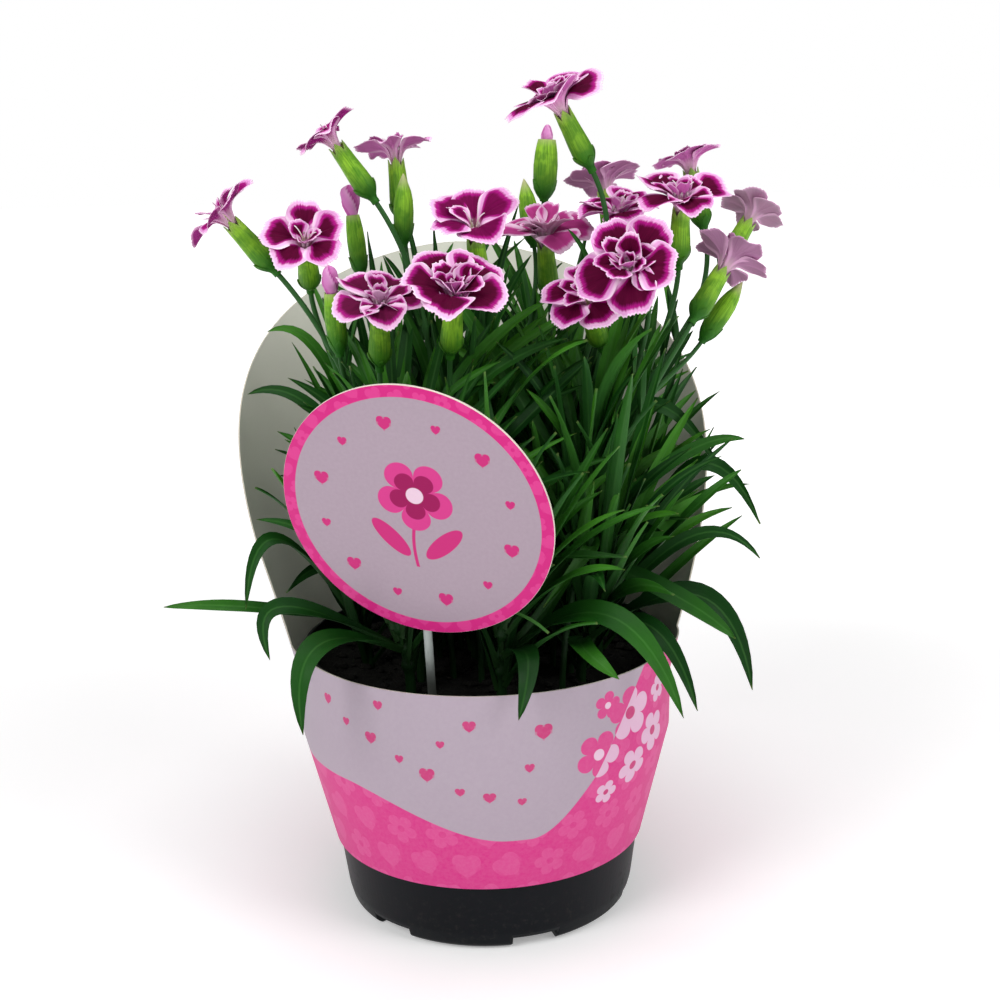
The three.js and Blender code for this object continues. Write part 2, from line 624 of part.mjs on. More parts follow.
// A point of a petal: t along it, s across it in half widths, lift off its surface. The petal
// rises from the throat, bends outwards and is rolled so that one edge lies over its neighbour.
function petalPoint(petal, t, s, lift) {
  const along = t * petal.length;
  const slope = rad(petal.rise - petal.curl * (t - 0.35));
  const hollow = 0.06 * petal.length * s * s * 4;
  const tilt = Math.sin(rad(petal.roll)) * s * petal.width * t;
  const height = along * Math.sin(slope) + (hollow + tilt + lift) * Math.cos(slope);
  const reach = along * Math.cos(slope) - (hollow + lift) * Math.sin(slope);
  return petal.middle.clone()
    .addScaledVector(petal.axis, height + 1)
    .addScaledVector(petal.out, reach)
    .addScaledVector(petal.side, s * petal.width);
}

function bloom(head) {
  const axis = headAxis(head);
  const at = (h) => throat(head).addScaledVector(axis, h - CALYX.length);
  const core = loft(
    [ring(at(17), axis, 1.6, 5), ring(at(23.2), axis, 1.1, 5)],
    at(11.2), at(24.4),
  );
  const petals = petalsOf(head).map((petal) => {
    const outline = PETAL_OUTLINE.map(([t, s]) => petalPoint(petal, t, s, 0));
    return lens(outline, petalPoint(petal, 0.6, 0, 0.45), petalPoint(petal, 0.6, 0, -0.35));
  });
  return Manifold.union([core, ...petals]);
}

// ---------------------------------------------------------------- the plant

const plant = new Map(); // node name to { parts, material }
const holes = [];

// A plain five-sided hole that a stem of that radius stands in.
function addHole(foot, stemRadius) {
  const radius = (stemRadius + GAP) / Math.cos(Math.PI / 5);
  const depth = FOOT_DEPTH + GAP;
  const hole = new THREE.CylinderGeometry(radius, radius, 2 * depth, 5).rotateX(Math.PI / 2);
  holes.push(solidOf(hole.translate(foot.x, foot.y, foot.z)));
}

function takeHead(head, owner) {
  const axis = headAxis(head);
  for (let h = 0; h <= CALYX.length; h += 3) {
    take([calyxBase(head).addScaledVector(axis, h)], 3.9, owner);
  }
  if (!head.bud) take([throat(head).addScaledVector(axis, 3)], head.width / 2, owner + "_bloom");
}

const curves = new Map();

function addStems() {
  for (const head of HEADS) {
    const name = "stem_" + head.name;
    const curve = stemCurve(head);
    curves.set(head.name, curve);
    const parts = [flowerStem(curve, head)];
    take(curve.getPoints(CURVE_POINTS), 1.5, name);
    takeHead(head, name);
    addHole(curve.getPoint(0), STEM_RADIUS);
    plant.set(name, { parts, material: MATERIALS.stem });
  }
  for (const branch of BRANCH_BUDS) {
    const name = "stem_" + branch.stem;
    const curve = branchCurve(branch, curves.get(branch.stem));
    plant.get(name).parts.push(branchStem(curve, branch));
    take(curve.getPoints(CURVE_POINTS), 1.4, name);
    takeHead(branch, name);
  }
  for (const head of HEADS.filter((h) => !h.bud)) {
    plant.set("bloom_" + head.name, { parts: [bloom(head)], material: MATERIALS.petal });
  }
  for (const head of [...HEADS, ...BRANCH_BUDS].filter((h) => h.bud === "tip")) {
    plant.set("bud_tip_" + head.name, { parts: [budTip(head)], material: MATERIALS.petal });
  }
}

function shoots() {
  const outer = [...Array(OUTER_SHOOTS.count).keys()].map((i) => {
    const heading = OUTER_SHOOTS.first + (360 / OUTER_SHOOTS.count) * i;
    const [x, y] = [Math.cos(rad(heading)), Math.sin(rad(heading))];
    return { ...OUTER_SHOOTS, tier: 0, heading, x: x * OUTER_SHOOTS.ring, y: y * OUTER_SHOOTS.ring };
  });
  const inner = INNER_FEET.map(([x, y]) => {
    return { ...INNER_SHOOTS, tier: 1, heading: (Math.atan2(y, x) * 180) / Math.PI, x, y };
  });
  return [...outer, ...inner].map((shoot, number) => ({ ...shoot, number }));
}

function shootCurve(shoot) {
  const out = vec(Math.cos(rad(shoot.heading)), Math.sin(rad(shoot.heading)), 0);
  const foot = onSoil(shoot.x, shoot.y);
  const middle = foot.clone().add(vec(0, 0, shoot.height * 0.6));
  const top = foot.clone().add(vec(0, 0, shoot.height)).addScaledVector(out, shoot.reach);
  return new THREE.QuadraticBezierCurve3(foot, middle, top);
}

// The leaves of a shoot, in opposite pairs, each pair turned square to the one below.
function shootLeaves(shoot, curve) {
  const leaves = [];
  for (let pair = 0; pair < shoot.pairs; pair++) {
    const t = mix(shoot.tier ? 0.3 : 0.46, 0.98, pair / (shoot.pairs - 1));
    for (let half = 0; half < 2; half++) {
      const id = 5000 + shoot.number * 100 + pair * 2 + half;
      const heading = shoot.heading + 45 + 90 * pair + 180 * half + spread(id, 1, 22);
      const outward = Math.cos(rad(heading - shoot.heading));
      const high = pair / (shoot.pairs - 1);
      const spreading = shoot.tier ? 0.35 : clamp01(0.55 + 0.45 * outward) * (1 - 0.5 * high);
      leaves.push({
        root: pointOn(curve, SHOOT_STATIONS, t),
        stand: SHOOT_RADIUS * 0.5,
        heading,
        climb: mix(80, 46, spreading) + spread(id, 2, 6),
        droop: mix(14, 96, spreading) * mix(0.7, 1.15, chance(id, 3)),
        length: shoot.leaf * mix(1, 0.72, high) * mix(0.8, 1.1, chance(id, 4)),
        width: mix(5.2, 3.6, high) * mix(0.85, 1.1, chance(id, 5)),
        swing: spread(id, 6, 14),
        twist: facingTwist(heading) + spread(id, 7, 25),
      });
    }
  }
  return leaves;
}

// The leaf pairs of a flower stem, which shorten towards the top.
function stemLeaves(head, curve) {
  const leaves = [];
  const seed = Number(head.name);
  STEM_JOINTS.forEach((t, pair) => {
    for (let half = 0; half < 2; half++) {
      const id = 1000 + seed * 20 + pair * 2 + half;
      const heading = seed * 61 + 90 * pair + 180 * half + spread(id, 1, 15);
      leaves.push({
        root: pointOn(curve, STEM_STATIONS, t),
        stand: STEM_RADIUS * 0.5,
        heading,
        climb: 74 + spread(id, 2, 7),
        droop: mix(10, 46, chance(id, 3)),
        length: [50, 30][pair] * mix(0.85, 1.1, chance(id, 4)),
        width: [3.8, 2.8][pair],
        swing: spread(id, 6, 10),
        twist: facingTwist(heading) + spread(id, 7, 25),
      });
    }
  });
  return leaves;
}

function addLeaf(name, leaf, steps) {
  const fitted = fitLeaf(leaf, name);
  if (fitted) plant.get(name).parts.push(blade(fitted, steps));
}

function addShoots() {
  const all = shoots();
  for (const shoot of all) {
    const name = "leafy_shoot_" + String(shoot.number + 1).padStart(2, "0");
    shoot.name = name;
    shoot.curve = shootCurve(shoot);
    const rings = stemRings(shoot.curve, SHOOT_RADIUS, SHOOT_STATIONS, FOOT_DEPTH);
    const stem = loft(rings, footPoint(shoot.curve, FOOT_DEPTH), shoot.curve.getPoint(1));
    plant.set(name, { parts: [stem], material: MATERIALS.leaf });
    take(shoot.curve.getPoints(CURVE_POINTS), 2, name);
    addHole(shoot.curve.getPoint(0), SHOOT_RADIUS);
  }
  for (const { shoot: number, ...leaf } of LONG_LEAVES) {
    const root = all[number].curve.getPoint(0.5);
    const tip = vec(...leaf.tip);
    const heading = (Math.atan2(tip.y - root.y, tip.x - root.x) * 180) / Math.PI;
    const grown = { ...leaf, root, stand: SHOOT_RADIUS * 0.5, heading, length: 90, swing: 0 };
    grown.twist = facingTwist(heading);
    addLeaf(all[number].name, grown, 5);
  }
  for (const head of HEADS) {
    for (const leaf of stemLeaves(head, curves.get(head.name))) addLeaf("stem_" + head.name, leaf, 2);
  }
  for (const shoot of all) {
    for (const leaf of shootLeaves(shoot, shoot.curve)) addLeaf(shoot.name, leaf, shoot.tier ? 2 : 3);
  }
}

// ---------------------------------------------------------------- assembly

const made = new THREE.Group();
takeCard();
addStems();
addShoots();
holes.push(stick(GAP));

made.add(meshFrom("pot", pot(), MATERIALS.pot));
made.add(meshFrom("soil", soil(holes), MATERIALS.soil));
made.add(meshFrom("sleeve", sleeve(), MATERIALS.sleeve));
made.add(meshFrom("card", card(), MATERIALS.card));
made.add(meshFrom("card_stick", stick(), MATERIALS.stick));
for (const [name, { parts, material }] of plant) {
  made.add(meshFrom(name, Manifold.union(parts), material));
}

export default made;
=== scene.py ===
# A garden pink in flower, in a nursery pot with a printed board sleeve and a round card on a stick.
# Every shape is worked out in millimetres and degrees in the part's own frame, and made in metres.
import math

import bpy
import numpy as np
from mathutils import Matrix, Vector, noise


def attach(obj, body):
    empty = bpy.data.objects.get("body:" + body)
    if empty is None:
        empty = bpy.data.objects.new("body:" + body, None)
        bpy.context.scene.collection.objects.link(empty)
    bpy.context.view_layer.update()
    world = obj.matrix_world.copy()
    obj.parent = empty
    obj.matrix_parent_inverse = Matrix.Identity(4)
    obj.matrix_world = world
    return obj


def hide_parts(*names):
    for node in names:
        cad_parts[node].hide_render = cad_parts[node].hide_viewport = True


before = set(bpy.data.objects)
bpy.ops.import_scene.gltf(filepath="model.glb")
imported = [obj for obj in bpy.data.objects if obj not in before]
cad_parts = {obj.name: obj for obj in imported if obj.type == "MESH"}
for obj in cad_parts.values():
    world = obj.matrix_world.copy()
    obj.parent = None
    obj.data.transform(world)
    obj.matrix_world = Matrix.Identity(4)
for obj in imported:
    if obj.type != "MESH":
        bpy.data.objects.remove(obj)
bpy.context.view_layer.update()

MM = 0.001

# ------------ driving dimensions

GAP = 0.3
POT_HEIGHT, POT_FOOT, POT_BASE, POT_SHOULDER, POT_RIM = 88, 44.4, 47.8, 56.4, 59.6
POT_WALL, POT_FLOOR, RIM_BAND = 1.4, 6, 17
UNDERSIDE_DISC, UNDERSIDE_RECESS, FOOT_RING = 26, 2.6, 38.5
NOTCHES, NOTCH_WIDTH, NOTCH_DEPTH, NOTCH_HEIGHT, NOTCH_RING, FIRST_NOTCH = 6, 15, 14, 4, 43.5, -72
DRAIN_RADIUS, DRAIN_RING = 2.6, 32.5
SOIL_TOP = 79.5

SLEEVE_BOTTOM, SLEEVE_FRONT, SLEEVE_CREST, SLEEVE_WALL = 23.3, 89.4, 210, 0.5
SLEEVE_RADIUS, SLEEVE_TAPER, SLEEVE_BEND = 50.9, 0.247, 60
BACK_FROM, BACK_FLARE = 79, 0.265
HEADER_MIDDLE, HEADER_HALF, HEADER_ROUNDNESS, HEADER_SHOULDER = -5, 94, 1.65, 0.6

CARD_RADIUS, CARD_THICKNESS = 40.5, 0.8
CARD_PLACE = (-17.5, -64, 145.3)
CARD_TURN, CARD_TIP, CARD_ROLL = -20, 18, 5.5
CARD_BORDER = 3.7
STICK_RADIUS, STICK_BELOW, STICK_ABOVE = 1.3, 100, 30

CALYX_LENGTH, CALYX_RADIUS, CALYX_RIM, CALYX_MOUTH, CALYX_TEETH = 22, 3.6, 2.95, 2.1, 5
CALYX_TOOTH, CALYX_SIDES, RIB_HEIGHT = 3, 40, 0.02
BUD_RIM = 19.3
STEM_RADIUS = 1.15
BRANCH_RADIUS = STEM_RADIUS * 0.85
STEM_JOINTS = (0.38, 0.68)
STEM_STATIONS = (0, *STEM_JOINTS, 0.86, 1)
SHOOT_RADIUS = 1.9
SHOOT_STATIONS = (0, 0.5, 1)
FOOT_DEPTH = 8
CLUMP_LEFT, CLUMP_RIGHT, CLUMP_NARROWER, CLUMP_SLOPE, CLUMP_REACH = -70, 88, 150, 0.5, 86
ROOT_ROOM = 12
LEAF_TRIES = 24
LEAF_ROOM = 0.45  # how far a leaf keeps from others, as a share of its width
FACING_TWIST = 95
CURVE_POINTS = 50  # how many steps along a stem later leaves keep clear of

# Flower heads: name, throat, lean and the side it leans to, and foot of the stem. A bloom has its
# width, how far it is open, how full of inner petals it is, how slim its petals are and how faded
# they are, or below 0 how fresh a magenta. A bud has its kind instead, and one with a petal tip has
# the size of the tip, how stout its green part is and whether the tip flares.
HEADS = [
    dict(name="01", x=26, y=-12, z=256, lean=31, toward=209, foot=(10, -3),
         width=32, open=0.57, full=1, fade=0),
    dict(name="02", x=-43, y=5, z=247, lean=34, toward=174, foot=(-15, 3),
         width=23, open=0.4, full=0.3, fade=-1),
    dict(name="03", x=-25, y=20, z=242, lean=20, toward=105, foot=(-8, 12),
         width=26, open=0.66, full=0.6, slim=0.64, fade=0.12),
    dict(name="04", x=-75, y=-8, z=225, lean=40, toward=184, foot=(-24, -9),
         width=26, open=0.68, full=0.3, slim=0.8, fade=-0.8),
    dict(name="05", x=-51, y=-13, z=217, lean=46, toward=274, foot=(-19, -3),
         width=26, open=0.52, full=0.4, fade=0),
    dict(name="06", x=-39, y=12, z=227, lean=6, toward=160, foot=(-14, 14),
         bud="tip", tip=1.1, girth=0.76, flared=True),
    dict(name="08", x=0, y=-14, z=220, lean=33, toward=264, foot=(0, -8),
         width=29, open=0.28, full=0.1, fade=-0.35),
    dict(name="09", x=-28, y=-31, z=200, lean=25, toward=279, foot=(-10, -17),
         width=29, open=0.78, full=0.8, fade=0.5),
    dict(name="10", x=-6, y=-38, z=202, lean=35, toward=279, foot=(-1, -20),
         width=33, open=0.38, full=1, fade=0),
    dict(name="11", x=22, y=16, z=216, lean=19, toward=256, foot=(6, 10),
         width=33, open=0.8, full=1, fade=0.8),
    dict(name="12", x=24, y=34, z=249, lean=4, toward=20, foot=(6, 21),
         bud="tip", tip=0.55, girth=1.05),
    dict(name="13", x=43, y=42, z=230, lean=23, toward=111, foot=(14, 21),
         width=27, open=0.61, full=0.6, fade=0.3),
    dict(name="14", x=46, y=17, z=222, lean=17, toward=260, foot=(16, 6),
         width=26, open=0.66, full=0.7, fade=0.1),
    dict(name="15", x=45, y=-37, z=210, lean=64, toward=252, foot=(24, -33),
         width=31, open=0.68, full=1, fade=0),
    dict(name="16", x=33, y=-26, z=200, lean=42, toward=249, foot=(10, -13),
         width=26, open=0.66, full=0.6, fade=0),
    dict(name="17", x=63, y=-7, z=227, lean=23, toward=268, foot=(22, -8),
         width=30, open=0.62, full=0.8, fade=0),
    dict(name="18", x=70, y=30, z=237, lean=16, toward=140, foot=(22, 14),
         width=24, open=0.74, full=0.6, fade=0.05),
    dict(name="19", x=90, y=29, z=220, lean=42, toward=40, foot=(27, 10),
         width=21, open=0.66, full=0.3, fade=0.6),
    dict(name="20", x=77, y=-3, z=207, lean=44, toward=42, foot=(28, -1),
         width=27, open=0.58, full=0.3, slim=0.75, fade=0.4),
]
# Buds on side branches: the stem that each grows from, and the share of its length where it does.
BRANCH_BUDS = [
    dict(stem="03", start=0.72, x=-22, y=8, z=237, lean=4, toward=300, bud="green"),
    dict(stem="04", start=0.62, x=-43, y=-22, z=206, lean=10, toward=250,
         name="07", bud="tip", tip=0.95, girth=0.82),
    dict(stem="12", start=0.7, x=16, y=33, z=234, lean=8, toward=170, bud="green"),
    dict(stem="20", start=0.68, x=83, y=-1, z=202, lean=34, toward=355, bud="green"),
]

# Shoots of the clump: height and reach of the shoot, its pairs of leaves and their length.
OUTER_SHOOTS = dict(tier=0, height=30, reach=9, pairs=5, leaf=78)
OUTER_COUNT, OUTER_RING, OUTER_FIRST = 8, 38, 8
INNER_SHOOTS = dict(tier=1, height=74, reach=8, pairs=6, leaf=66)
INNER_FEET = [(-3, 1), (-26, 10), (-20, -17.5), (27, -14), (24, 24), (-5, 26)]

# The leaves that stand out from the clump: shoot, a point each leaf passes through, tip and width.
LONG_LEAVES = [
    (5, (-48, -57, 105), (-52, -67, 81), 8.2),
    (6, (13, -58, 100), (10, -69, 85), 7.2),
    (6, (36, -58, 112), (57, -70, 85), 8.6),
    (7, (66, -31, 110), (82, -38, 81), 8.4),
    (7, (64, -20, 118), (86, -24, 119), 4.6),
    (0, (65, -9, 141), (87, -17, 128), 6.4),
    (4, (-70, -28, 108), (-98, -30, 109), 4.4),
    (4, (-62, -25, 129), (-72, -34, 109), 5.4),
    (5, (-60, -37, 111), (-64, -44, 96), 6.0),
    (11, (60, -13, 143), (83, -11, 154), 4.8),
    (9, (-52, 11, 161), (-76, 16, 167), 5.0),
    (7, (29, -55, 103), (39, -67, 96), 7.0),
    (6, (33, -38, 128), (18, -54, 114), 6.0),
    (11, (56, -36, 113), (76, -42, 99), 7.0),
    (0, (61, -20, 130), (80, -23, 147), 5.0),
    (0, (49, -6, 162), (77, -6, 142), 6.0),
    (3, (-47, 18, 170), (-69, 20, 187), 4.8),
    (7, (50, -45, 105), (62, -62, 84), 6.4),
    (11, (23, -46, 128), (42, -58, 130), 6.0),
]

# Petal rows from the outermost in: how many, length and width as shares of half the bloom's width,
# rise above level when flat open and when cupped, and how far the tip curls down. The inner rows are
# as full as each bloom's own value says, and their petals are more loosely set and more folded.
PETAL_ROWS = [
    dict(count=5, long=1, wide=1, flat=2, cupped=62, curl=14,
         teeth=14, columns=43, loose=1.4, fold=0.2),
    dict(count=6, long=0.66, wide=0.46, flat=28, cupped=72, curl=10,
         teeth=7, columns=22, loose=2.6, fold=0.5),
    dict(count=4, long=0.42, wide=0.34, flat=52, cupped=82, curl=0,
         teeth=4, columns=13, loose=3.2, fold=1.0),
]
CUPPED_CURL = 24  # how much further the tips of a cupped bloom's petals curl

# ------------ small tools

X_AXIS, Y_AXIS, Z_AXIS = np.eye(3)
ORIGIN = (0, 0, 0)


def mix(a, b, t):
    return a + (b - a) * t


def smooth(t):
    t = np.clip(t, 0, 1)
    return t * t * (3 - 2 * t)


def unit(v):
    """Each vector at length 1."""
    return v / np.linalg.norm(v, axis=-1, keepdims=True)


def rad(degrees):
    return np.radians(degrees)


def chance(i, k):
    """A repeatable draw between 0 and 1 for the k-th property of thing number i."""
    wave = math.sin(i * 12.9898 + k * 78.233) * 43758.5453
    return wave - math.floor(wave)


def spread(i, k, half):
    """A repeatable draw between -half and half."""
    return (2 * chance(i, k) - 1) * half


def flat_direction(heading):
    """The level direction of a heading, or of each heading, in degrees."""
    turn = rad(heading)
    return np.stack([np.cos(turn), np.sin(turn), np.zeros_like(turn)], -1)


def leaning(lean, toward):
    """The direction that leans that far from vertical, towards a compass side."""
    return flat_direction(toward) * math.sin(rad(lean)) + Z_AXIS * math.cos(rad(lean))


def across(axis):
    """Two directions square to an axis."""
    side = X_AXIS if abs(axis[2]) > 0.95 else Z_AXIS
    u = unit(np.cross(side, axis))
    return u, np.cross(axis, u)


def turned_about(v, axis, degrees):
    """Vectors v, each turned about its own axis."""
    c, s = np.cos(rad(degrees))[:, None], np.sin(rad(degrees))[:, None]
    along = (v * axis).sum(-1, keepdims=True) * axis
    return v * c + np.cross(axis, v) * s + along * (1 - c)


class Curve:
    """A Bezier curve through three or four control points."""

    def __init__(self, *controls):
        self.controls = np.array(controls, float)

    def at(self, t):
        points = np.repeat(self.controls[:, None], np.size(t), 1)
        t = np.reshape(t, (-1, 1))
        while len(points) > 1:
            points = mix(points[:-1], points[1:], t)
        return points[0]

    def point(self, t):
        return self.at(t)[0]

    def tangents(self, t):
        t = np.atleast_1d(t)
        return unit(self.at(np.minimum(t + 1e-4, 1)) - self.at(np.maximum(t - 1e-4, 0)))

    def tangent(self, t):
        return self.tangents(t)[0]

    def points(self, steps):
        return self.at(np.linspace(0, 1, steps + 1))


def round_turn(sides):
    """The angles of that many even steps round a circle."""
    return np.linspace(0, 2 * np.pi, sides, endpoint=False)


def ring_directions(axes, right, sides):
    """For each axis, the directions of a ring of points round it, from the side that right is on."""
    u = unit(right - (right * axes).sum(-1, keepdims=True) * axes)
    v = np.cross(axes, u)
    turn = round_turn(sides)[:, None]
    return u[:, None] * np.cos(turn) + v[:, None] * np.sin(turn)


def level_rings(radii, heights, sides, turn=0.0):
    """Level rings of points round the Z axis, one for each radius and height."""
    angles = round_turn(sides) + turn
    flat = np.stack([np.cos(angles), np.sin(angles), np.zeros(sides)], -1)
    return flat * np.reshape(radii, (-1, 1, 1)) + Z_AXIS * np.reshape(heights, (-1, 1, 1))


def turned_rings(base, axis, right, heights, radii):
    """Rings of points round an axis that starts at base, from a height for each ring and a radius
    for each of its points."""
    directions = ring_directions(np.array([axis]), right, radii.shape[1])[0]
    return base + axis * heights[:, None, None] + directions * radii[:, :, None]


# ------------ making meshes


def grid_quads(rows, columns, first, closed=False):
    """The quads of a grid of points. A closed one joins its last column to its first."""
    i, j = np.meshgrid(np.arange(rows - 1), np.arange(columns if closed else columns - 1), indexing="ij")
    k = (j + 1) % columns
    corners = [i * columns + j, i * columns + k, (i + 1) * columns + k, (i + 1) * columns + j]
    return first + np.stack(corners, -1).reshape(-1, 4)


def for_each(values, count):
    """A vector for each of count points, from one for them all or from a grid of vectors."""
    if np.ndim(values) < 2:
        return np.broadcast_to(values, (count, 3))
    return np.reshape(values, (-1, 3))


def add_object(name, data):
    """Puts a new object with that mesh, lamp or camera into the scene."""
    item = bpy.data.objects.new(name, data)
    bpy.context.collection.objects.link(item)
    return item


class Piece:
    """Collects closed shapes into one mesh. Each point has two vectors, where and tint, which its
    material reads."""

    def __init__(self, name, *materials):
        self.name, self.materials = name, materials
        self.points, self.where, self.tint, self.faces, self.slots = [], [], [], [], []
        self.count = 0

    def put(self, points, where=ORIGIN, tint=ORIGIN):
        """Adds points and returns the number of the first one."""
        points = np.reshape(points, (-1, 3))
        first, self.count = self.count, self.count + len(points)
        self.points.append(points)
        self.where.append(for_each(where, len(points)))
        self.tint.append(for_each(tint, len(points)))
        return first

    def join(self, faces, slot=0):
        """Adds faces that all have the same number of corners."""
        faces = np.asarray(faces)
        self.faces.append(faces)
        self.slots.append(np.full(len(faces), slot))

    def sheet(self, top, bottom, where, tint, under):
        """A thin closed sheet between two grids of points. Under is the tint of its lower side."""
        rows, columns = top.shape[:2]
        upper = self.put(top, where, tint)
        lower = self.put(bottom, where, under)
        self.join(grid_quads(rows, columns, upper)[:, ::-1])
        self.join(grid_quads(rows, columns, lower))
        index = np.arange(rows * columns).reshape(rows, columns)
        border = np.concatenate([index[0, :-1], index[:-1, -1], index[-1, :0:-1], index[:0:-1, 0]])
        after = np.roll(border, -1)
        self.join(np.stack([upper + border, upper + after, lower + after, lower + border], 1))

    def wrap(self, rings, where=ORIGIN, tint=ORIGIN, slot=0, inward=False):
        """Adds the surface through closed rings and returns the number of its first point."""
        rows, columns = np.shape(rings)[:2]
        first = self.put(rings, where, tint)
        quads = grid_quads(rows, columns, first, closed=True)
        self.join(quads[:, ::-1] if inward else quads, slot)
        return first

    def tube(self, rings, where=ORIGIN, tint=ORIGIN, start=None, end=None, slot=0):
        """A closed shape through rings of points. Each end closes on a point, which is the middle
        of the last ring unless it is given."""
        rows, columns = rings.shape[:2]
        first = self.wrap(rings, where, tint, slot)
        j = np.arange(columns)
        after = (j + 1) % columns
        places = np.broadcast_to(where, (rows, columns, 3))
        low = self.put(rings[0].mean(0) if start is None else start, places[0].mean(0), tint)
        high = self.put(rings[-1].mean(0) if end is None else end, places[-1].mean(0), tint)
        self.join(np.stack([np.full(columns, low), first + after, first + j], 1), slot)
        last = first + (rows - 1) * columns
        self.join(np.stack([np.full(columns, high), last + j, last + after], 1), slot)

    def make(self, replaced, slot, sharp=None):
        """Makes the mesh, which rides on the part and stands for the nodes named in replaced."""
        mesh = bpy.data.meshes.new(self.name)
        points = np.concatenate(self.points) * MM
        sizes = np.concatenate([np.full(len(faces), faces.shape[1]) for faces in self.faces])
        corners = np.concatenate([faces.ravel() for faces in self.faces])
        mesh.vertices.add(len(points))
        mesh.vertices.foreach_set("co", points.ravel())
        mesh.loops.add(len(corners))
        mesh.loops.foreach_set("vertex_index", corners)
        mesh.polygons.add(len(sizes))
        mesh.polygons.foreach_set("loop_start", np.cumsum(sizes) - sizes)
        mesh.polygons.foreach_set("material_index", np.concatenate(self.slots))
        mesh.update(calc_edges=True)
        for name, values in (("where", self.where), ("tint", self.tint)):
            attribute = mesh.attributes.new(name, "FLOAT_VECTOR", "POINT")
            attribute.data.foreach_set("vector", np.concatenate(values).ravel())
        mesh.shade_smooth()
        if sharp:
            mesh.set_sharp_from_angle(angle=rad(sharp))
        mesh.validate()
        piece = add_object(self.name, mesh)
        for material in self.materials:
            mesh.materials.append(material)
        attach(piece, "root")
        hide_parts(*replaced)
        return piece


# ------------ making materials


def srgb(red, green, blue):
    """A colour given as 0 to 255, in the linear values that the nodes use."""
    shares = [c / 255 for c in (red, green, blue)]
    return (*(c / 12.92 if c <= 0.04 else ((c + 0.055) / 1.055) ** 2.4 for c in shares), 1)


def operator(operation, swapped=False):
    """A method that works out an operation on two numbers of a node graph."""
    def method(self, other):
        return self.graph.math(operation, *((other, self) if swapped else (self, other)))
    return method


class Value:
    """A number or colour in a material's node graph. Numbers take part in Python's sums."""

    def __init__(self, graph, socket):
        self.graph, self.socket = graph, socket

    __add__ = __radd__ = operator("ADD")
    __mul__ = __rmul__ = operator("MULTIPLY")
    __sub__, __rsub__ = operator("SUBTRACT"), operator("SUBTRACT", swapped=True)
    __truediv__, __pow__ = operator("DIVIDE"), operator("POWER")

    def __neg__(self):
        return self * -1

    def __abs__(self):
        return self.graph.math("ABSOLUTE", self)


class Graph:
    """A material whose colour, roughness and bump are worked out by nodes."""

    def __init__(self, name, roughness=0.5, specular=0.5):
        self.material = bpy.data.materials.new(name)
        self.material.use_nodes = True
        self.tree = self.material.node_tree
        self.shader = self.tree.nodes["Principled BSDF"]
        self.shader.inputs["Roughness"].default_value = roughness
        self.shader.inputs["Specular IOR Level"].default_value = specular

    def feed(self, socket, value):
        """Sets a socket to a number, or a colour given as 0 to 255, or links it to a value."""
        if isinstance(value, Value):
            self.tree.links.new(value.socket, socket)
        else:
            socket.default_value = srgb(*value) if isinstance(value, tuple) else value

    def node(self, kind, **settings):
        node = self.tree.nodes.new("ShaderNode" + kind)
        for key, value in settings.items():
            setattr(node, key, value)
        return node

    def result(self, node, *terms):
        """What a node gives for the terms fed to its inputs."""
        for socket, term in zip(node.inputs, terms):
            self.feed(socket, term)
        return Value(self, node.outputs[0])

    def math(self, operation, *terms):
        return self.result(self.node("Math", operation=operation), *terms)

    def most(self, a, b):
        return self.math("MAXIMUM", a, b)

    def distance(self, x, y):
        return self.math("SQRT", x * x + y * y)

    def step(self, low, high, value):
        """0 below low and 1 above high, with a smooth rise between."""
        node = self.node("MapRange", interpolation_type="SMOOTHSTEP")
        return self.result(node, value, low, high, 0, 1)

    def vector(self, x, y, z=0):
        return self.result(self.node("CombineXYZ"), x, y, z)

    def parts(self, vector):
        node = self.node("SeparateXYZ")
        self.feed(node.inputs[0], vector)
        return [Value(self, socket) for socket in node.outputs]

    def attribute(self, name):
        node = self.node("Attribute", attribute_name=name)
        return self.parts(Value(self, node.outputs["Vector"]))

    def position(self):
        """Place on the part, in millimetres."""
        metres = Value(self, self.node("TexCoord").outputs["Object"])
        scaled = self.node("VectorMath", operation="SCALE")
        scaled.inputs["Scale"].default_value = 1 / MM
        return self.result(scaled, metres)

    def noise(self, vector, scale, detail=3, roughness=0.5):
        """Noise between 0 and 1, with about one bump in each 1/scale of the vector's own units."""
        node = self.node("TexNoise")
        settings = {"Vector": vector, "Scale": scale, "Detail": detail, "Roughness": roughness}
        for name, value in settings.items():
            self.feed(node.inputs[name], value)
        return Value(self, node.outputs[0])

    def draw(self, x, y):
        """A random number for each pair of whole numbers."""
        node = self.node("TexWhiteNoise", noise_dimensions="2D")
        self.feed(node.inputs["Vector"], self.vector(x, y))
        return Value(self, node.outputs["Value"])

    def blend(self, share, a, b):
        """Colour a, turning into colour b as share goes from 0 to 1."""
        node = self.node("Mix", data_type="RGBA")
        for number, term in ((0, share), (6, a), (7, b)):
            self.feed(node.inputs[number], term)
        return Value(self, node.outputs[2])

    def bump(self, height, depth, strength=1):
        """Height between 0 and 1 stands up by depth in millimetres."""
        node = self.node("Bump")
        for name, value in {"Strength": strength, "Distance": depth * MM, "Height": height}.items():
            self.feed(node.inputs[name], value)
        self.feed(self.shader.inputs["Normal"], Value(self, node.outputs[0]))

    def finish(self, colour, roughness=None):
        self.feed(self.shader.inputs["Base Color"], colour)
        if roughness is not None:
            self.feed(self.shader.inputs["Roughness"], roughness)
        return self.material


# ------------ plant materials


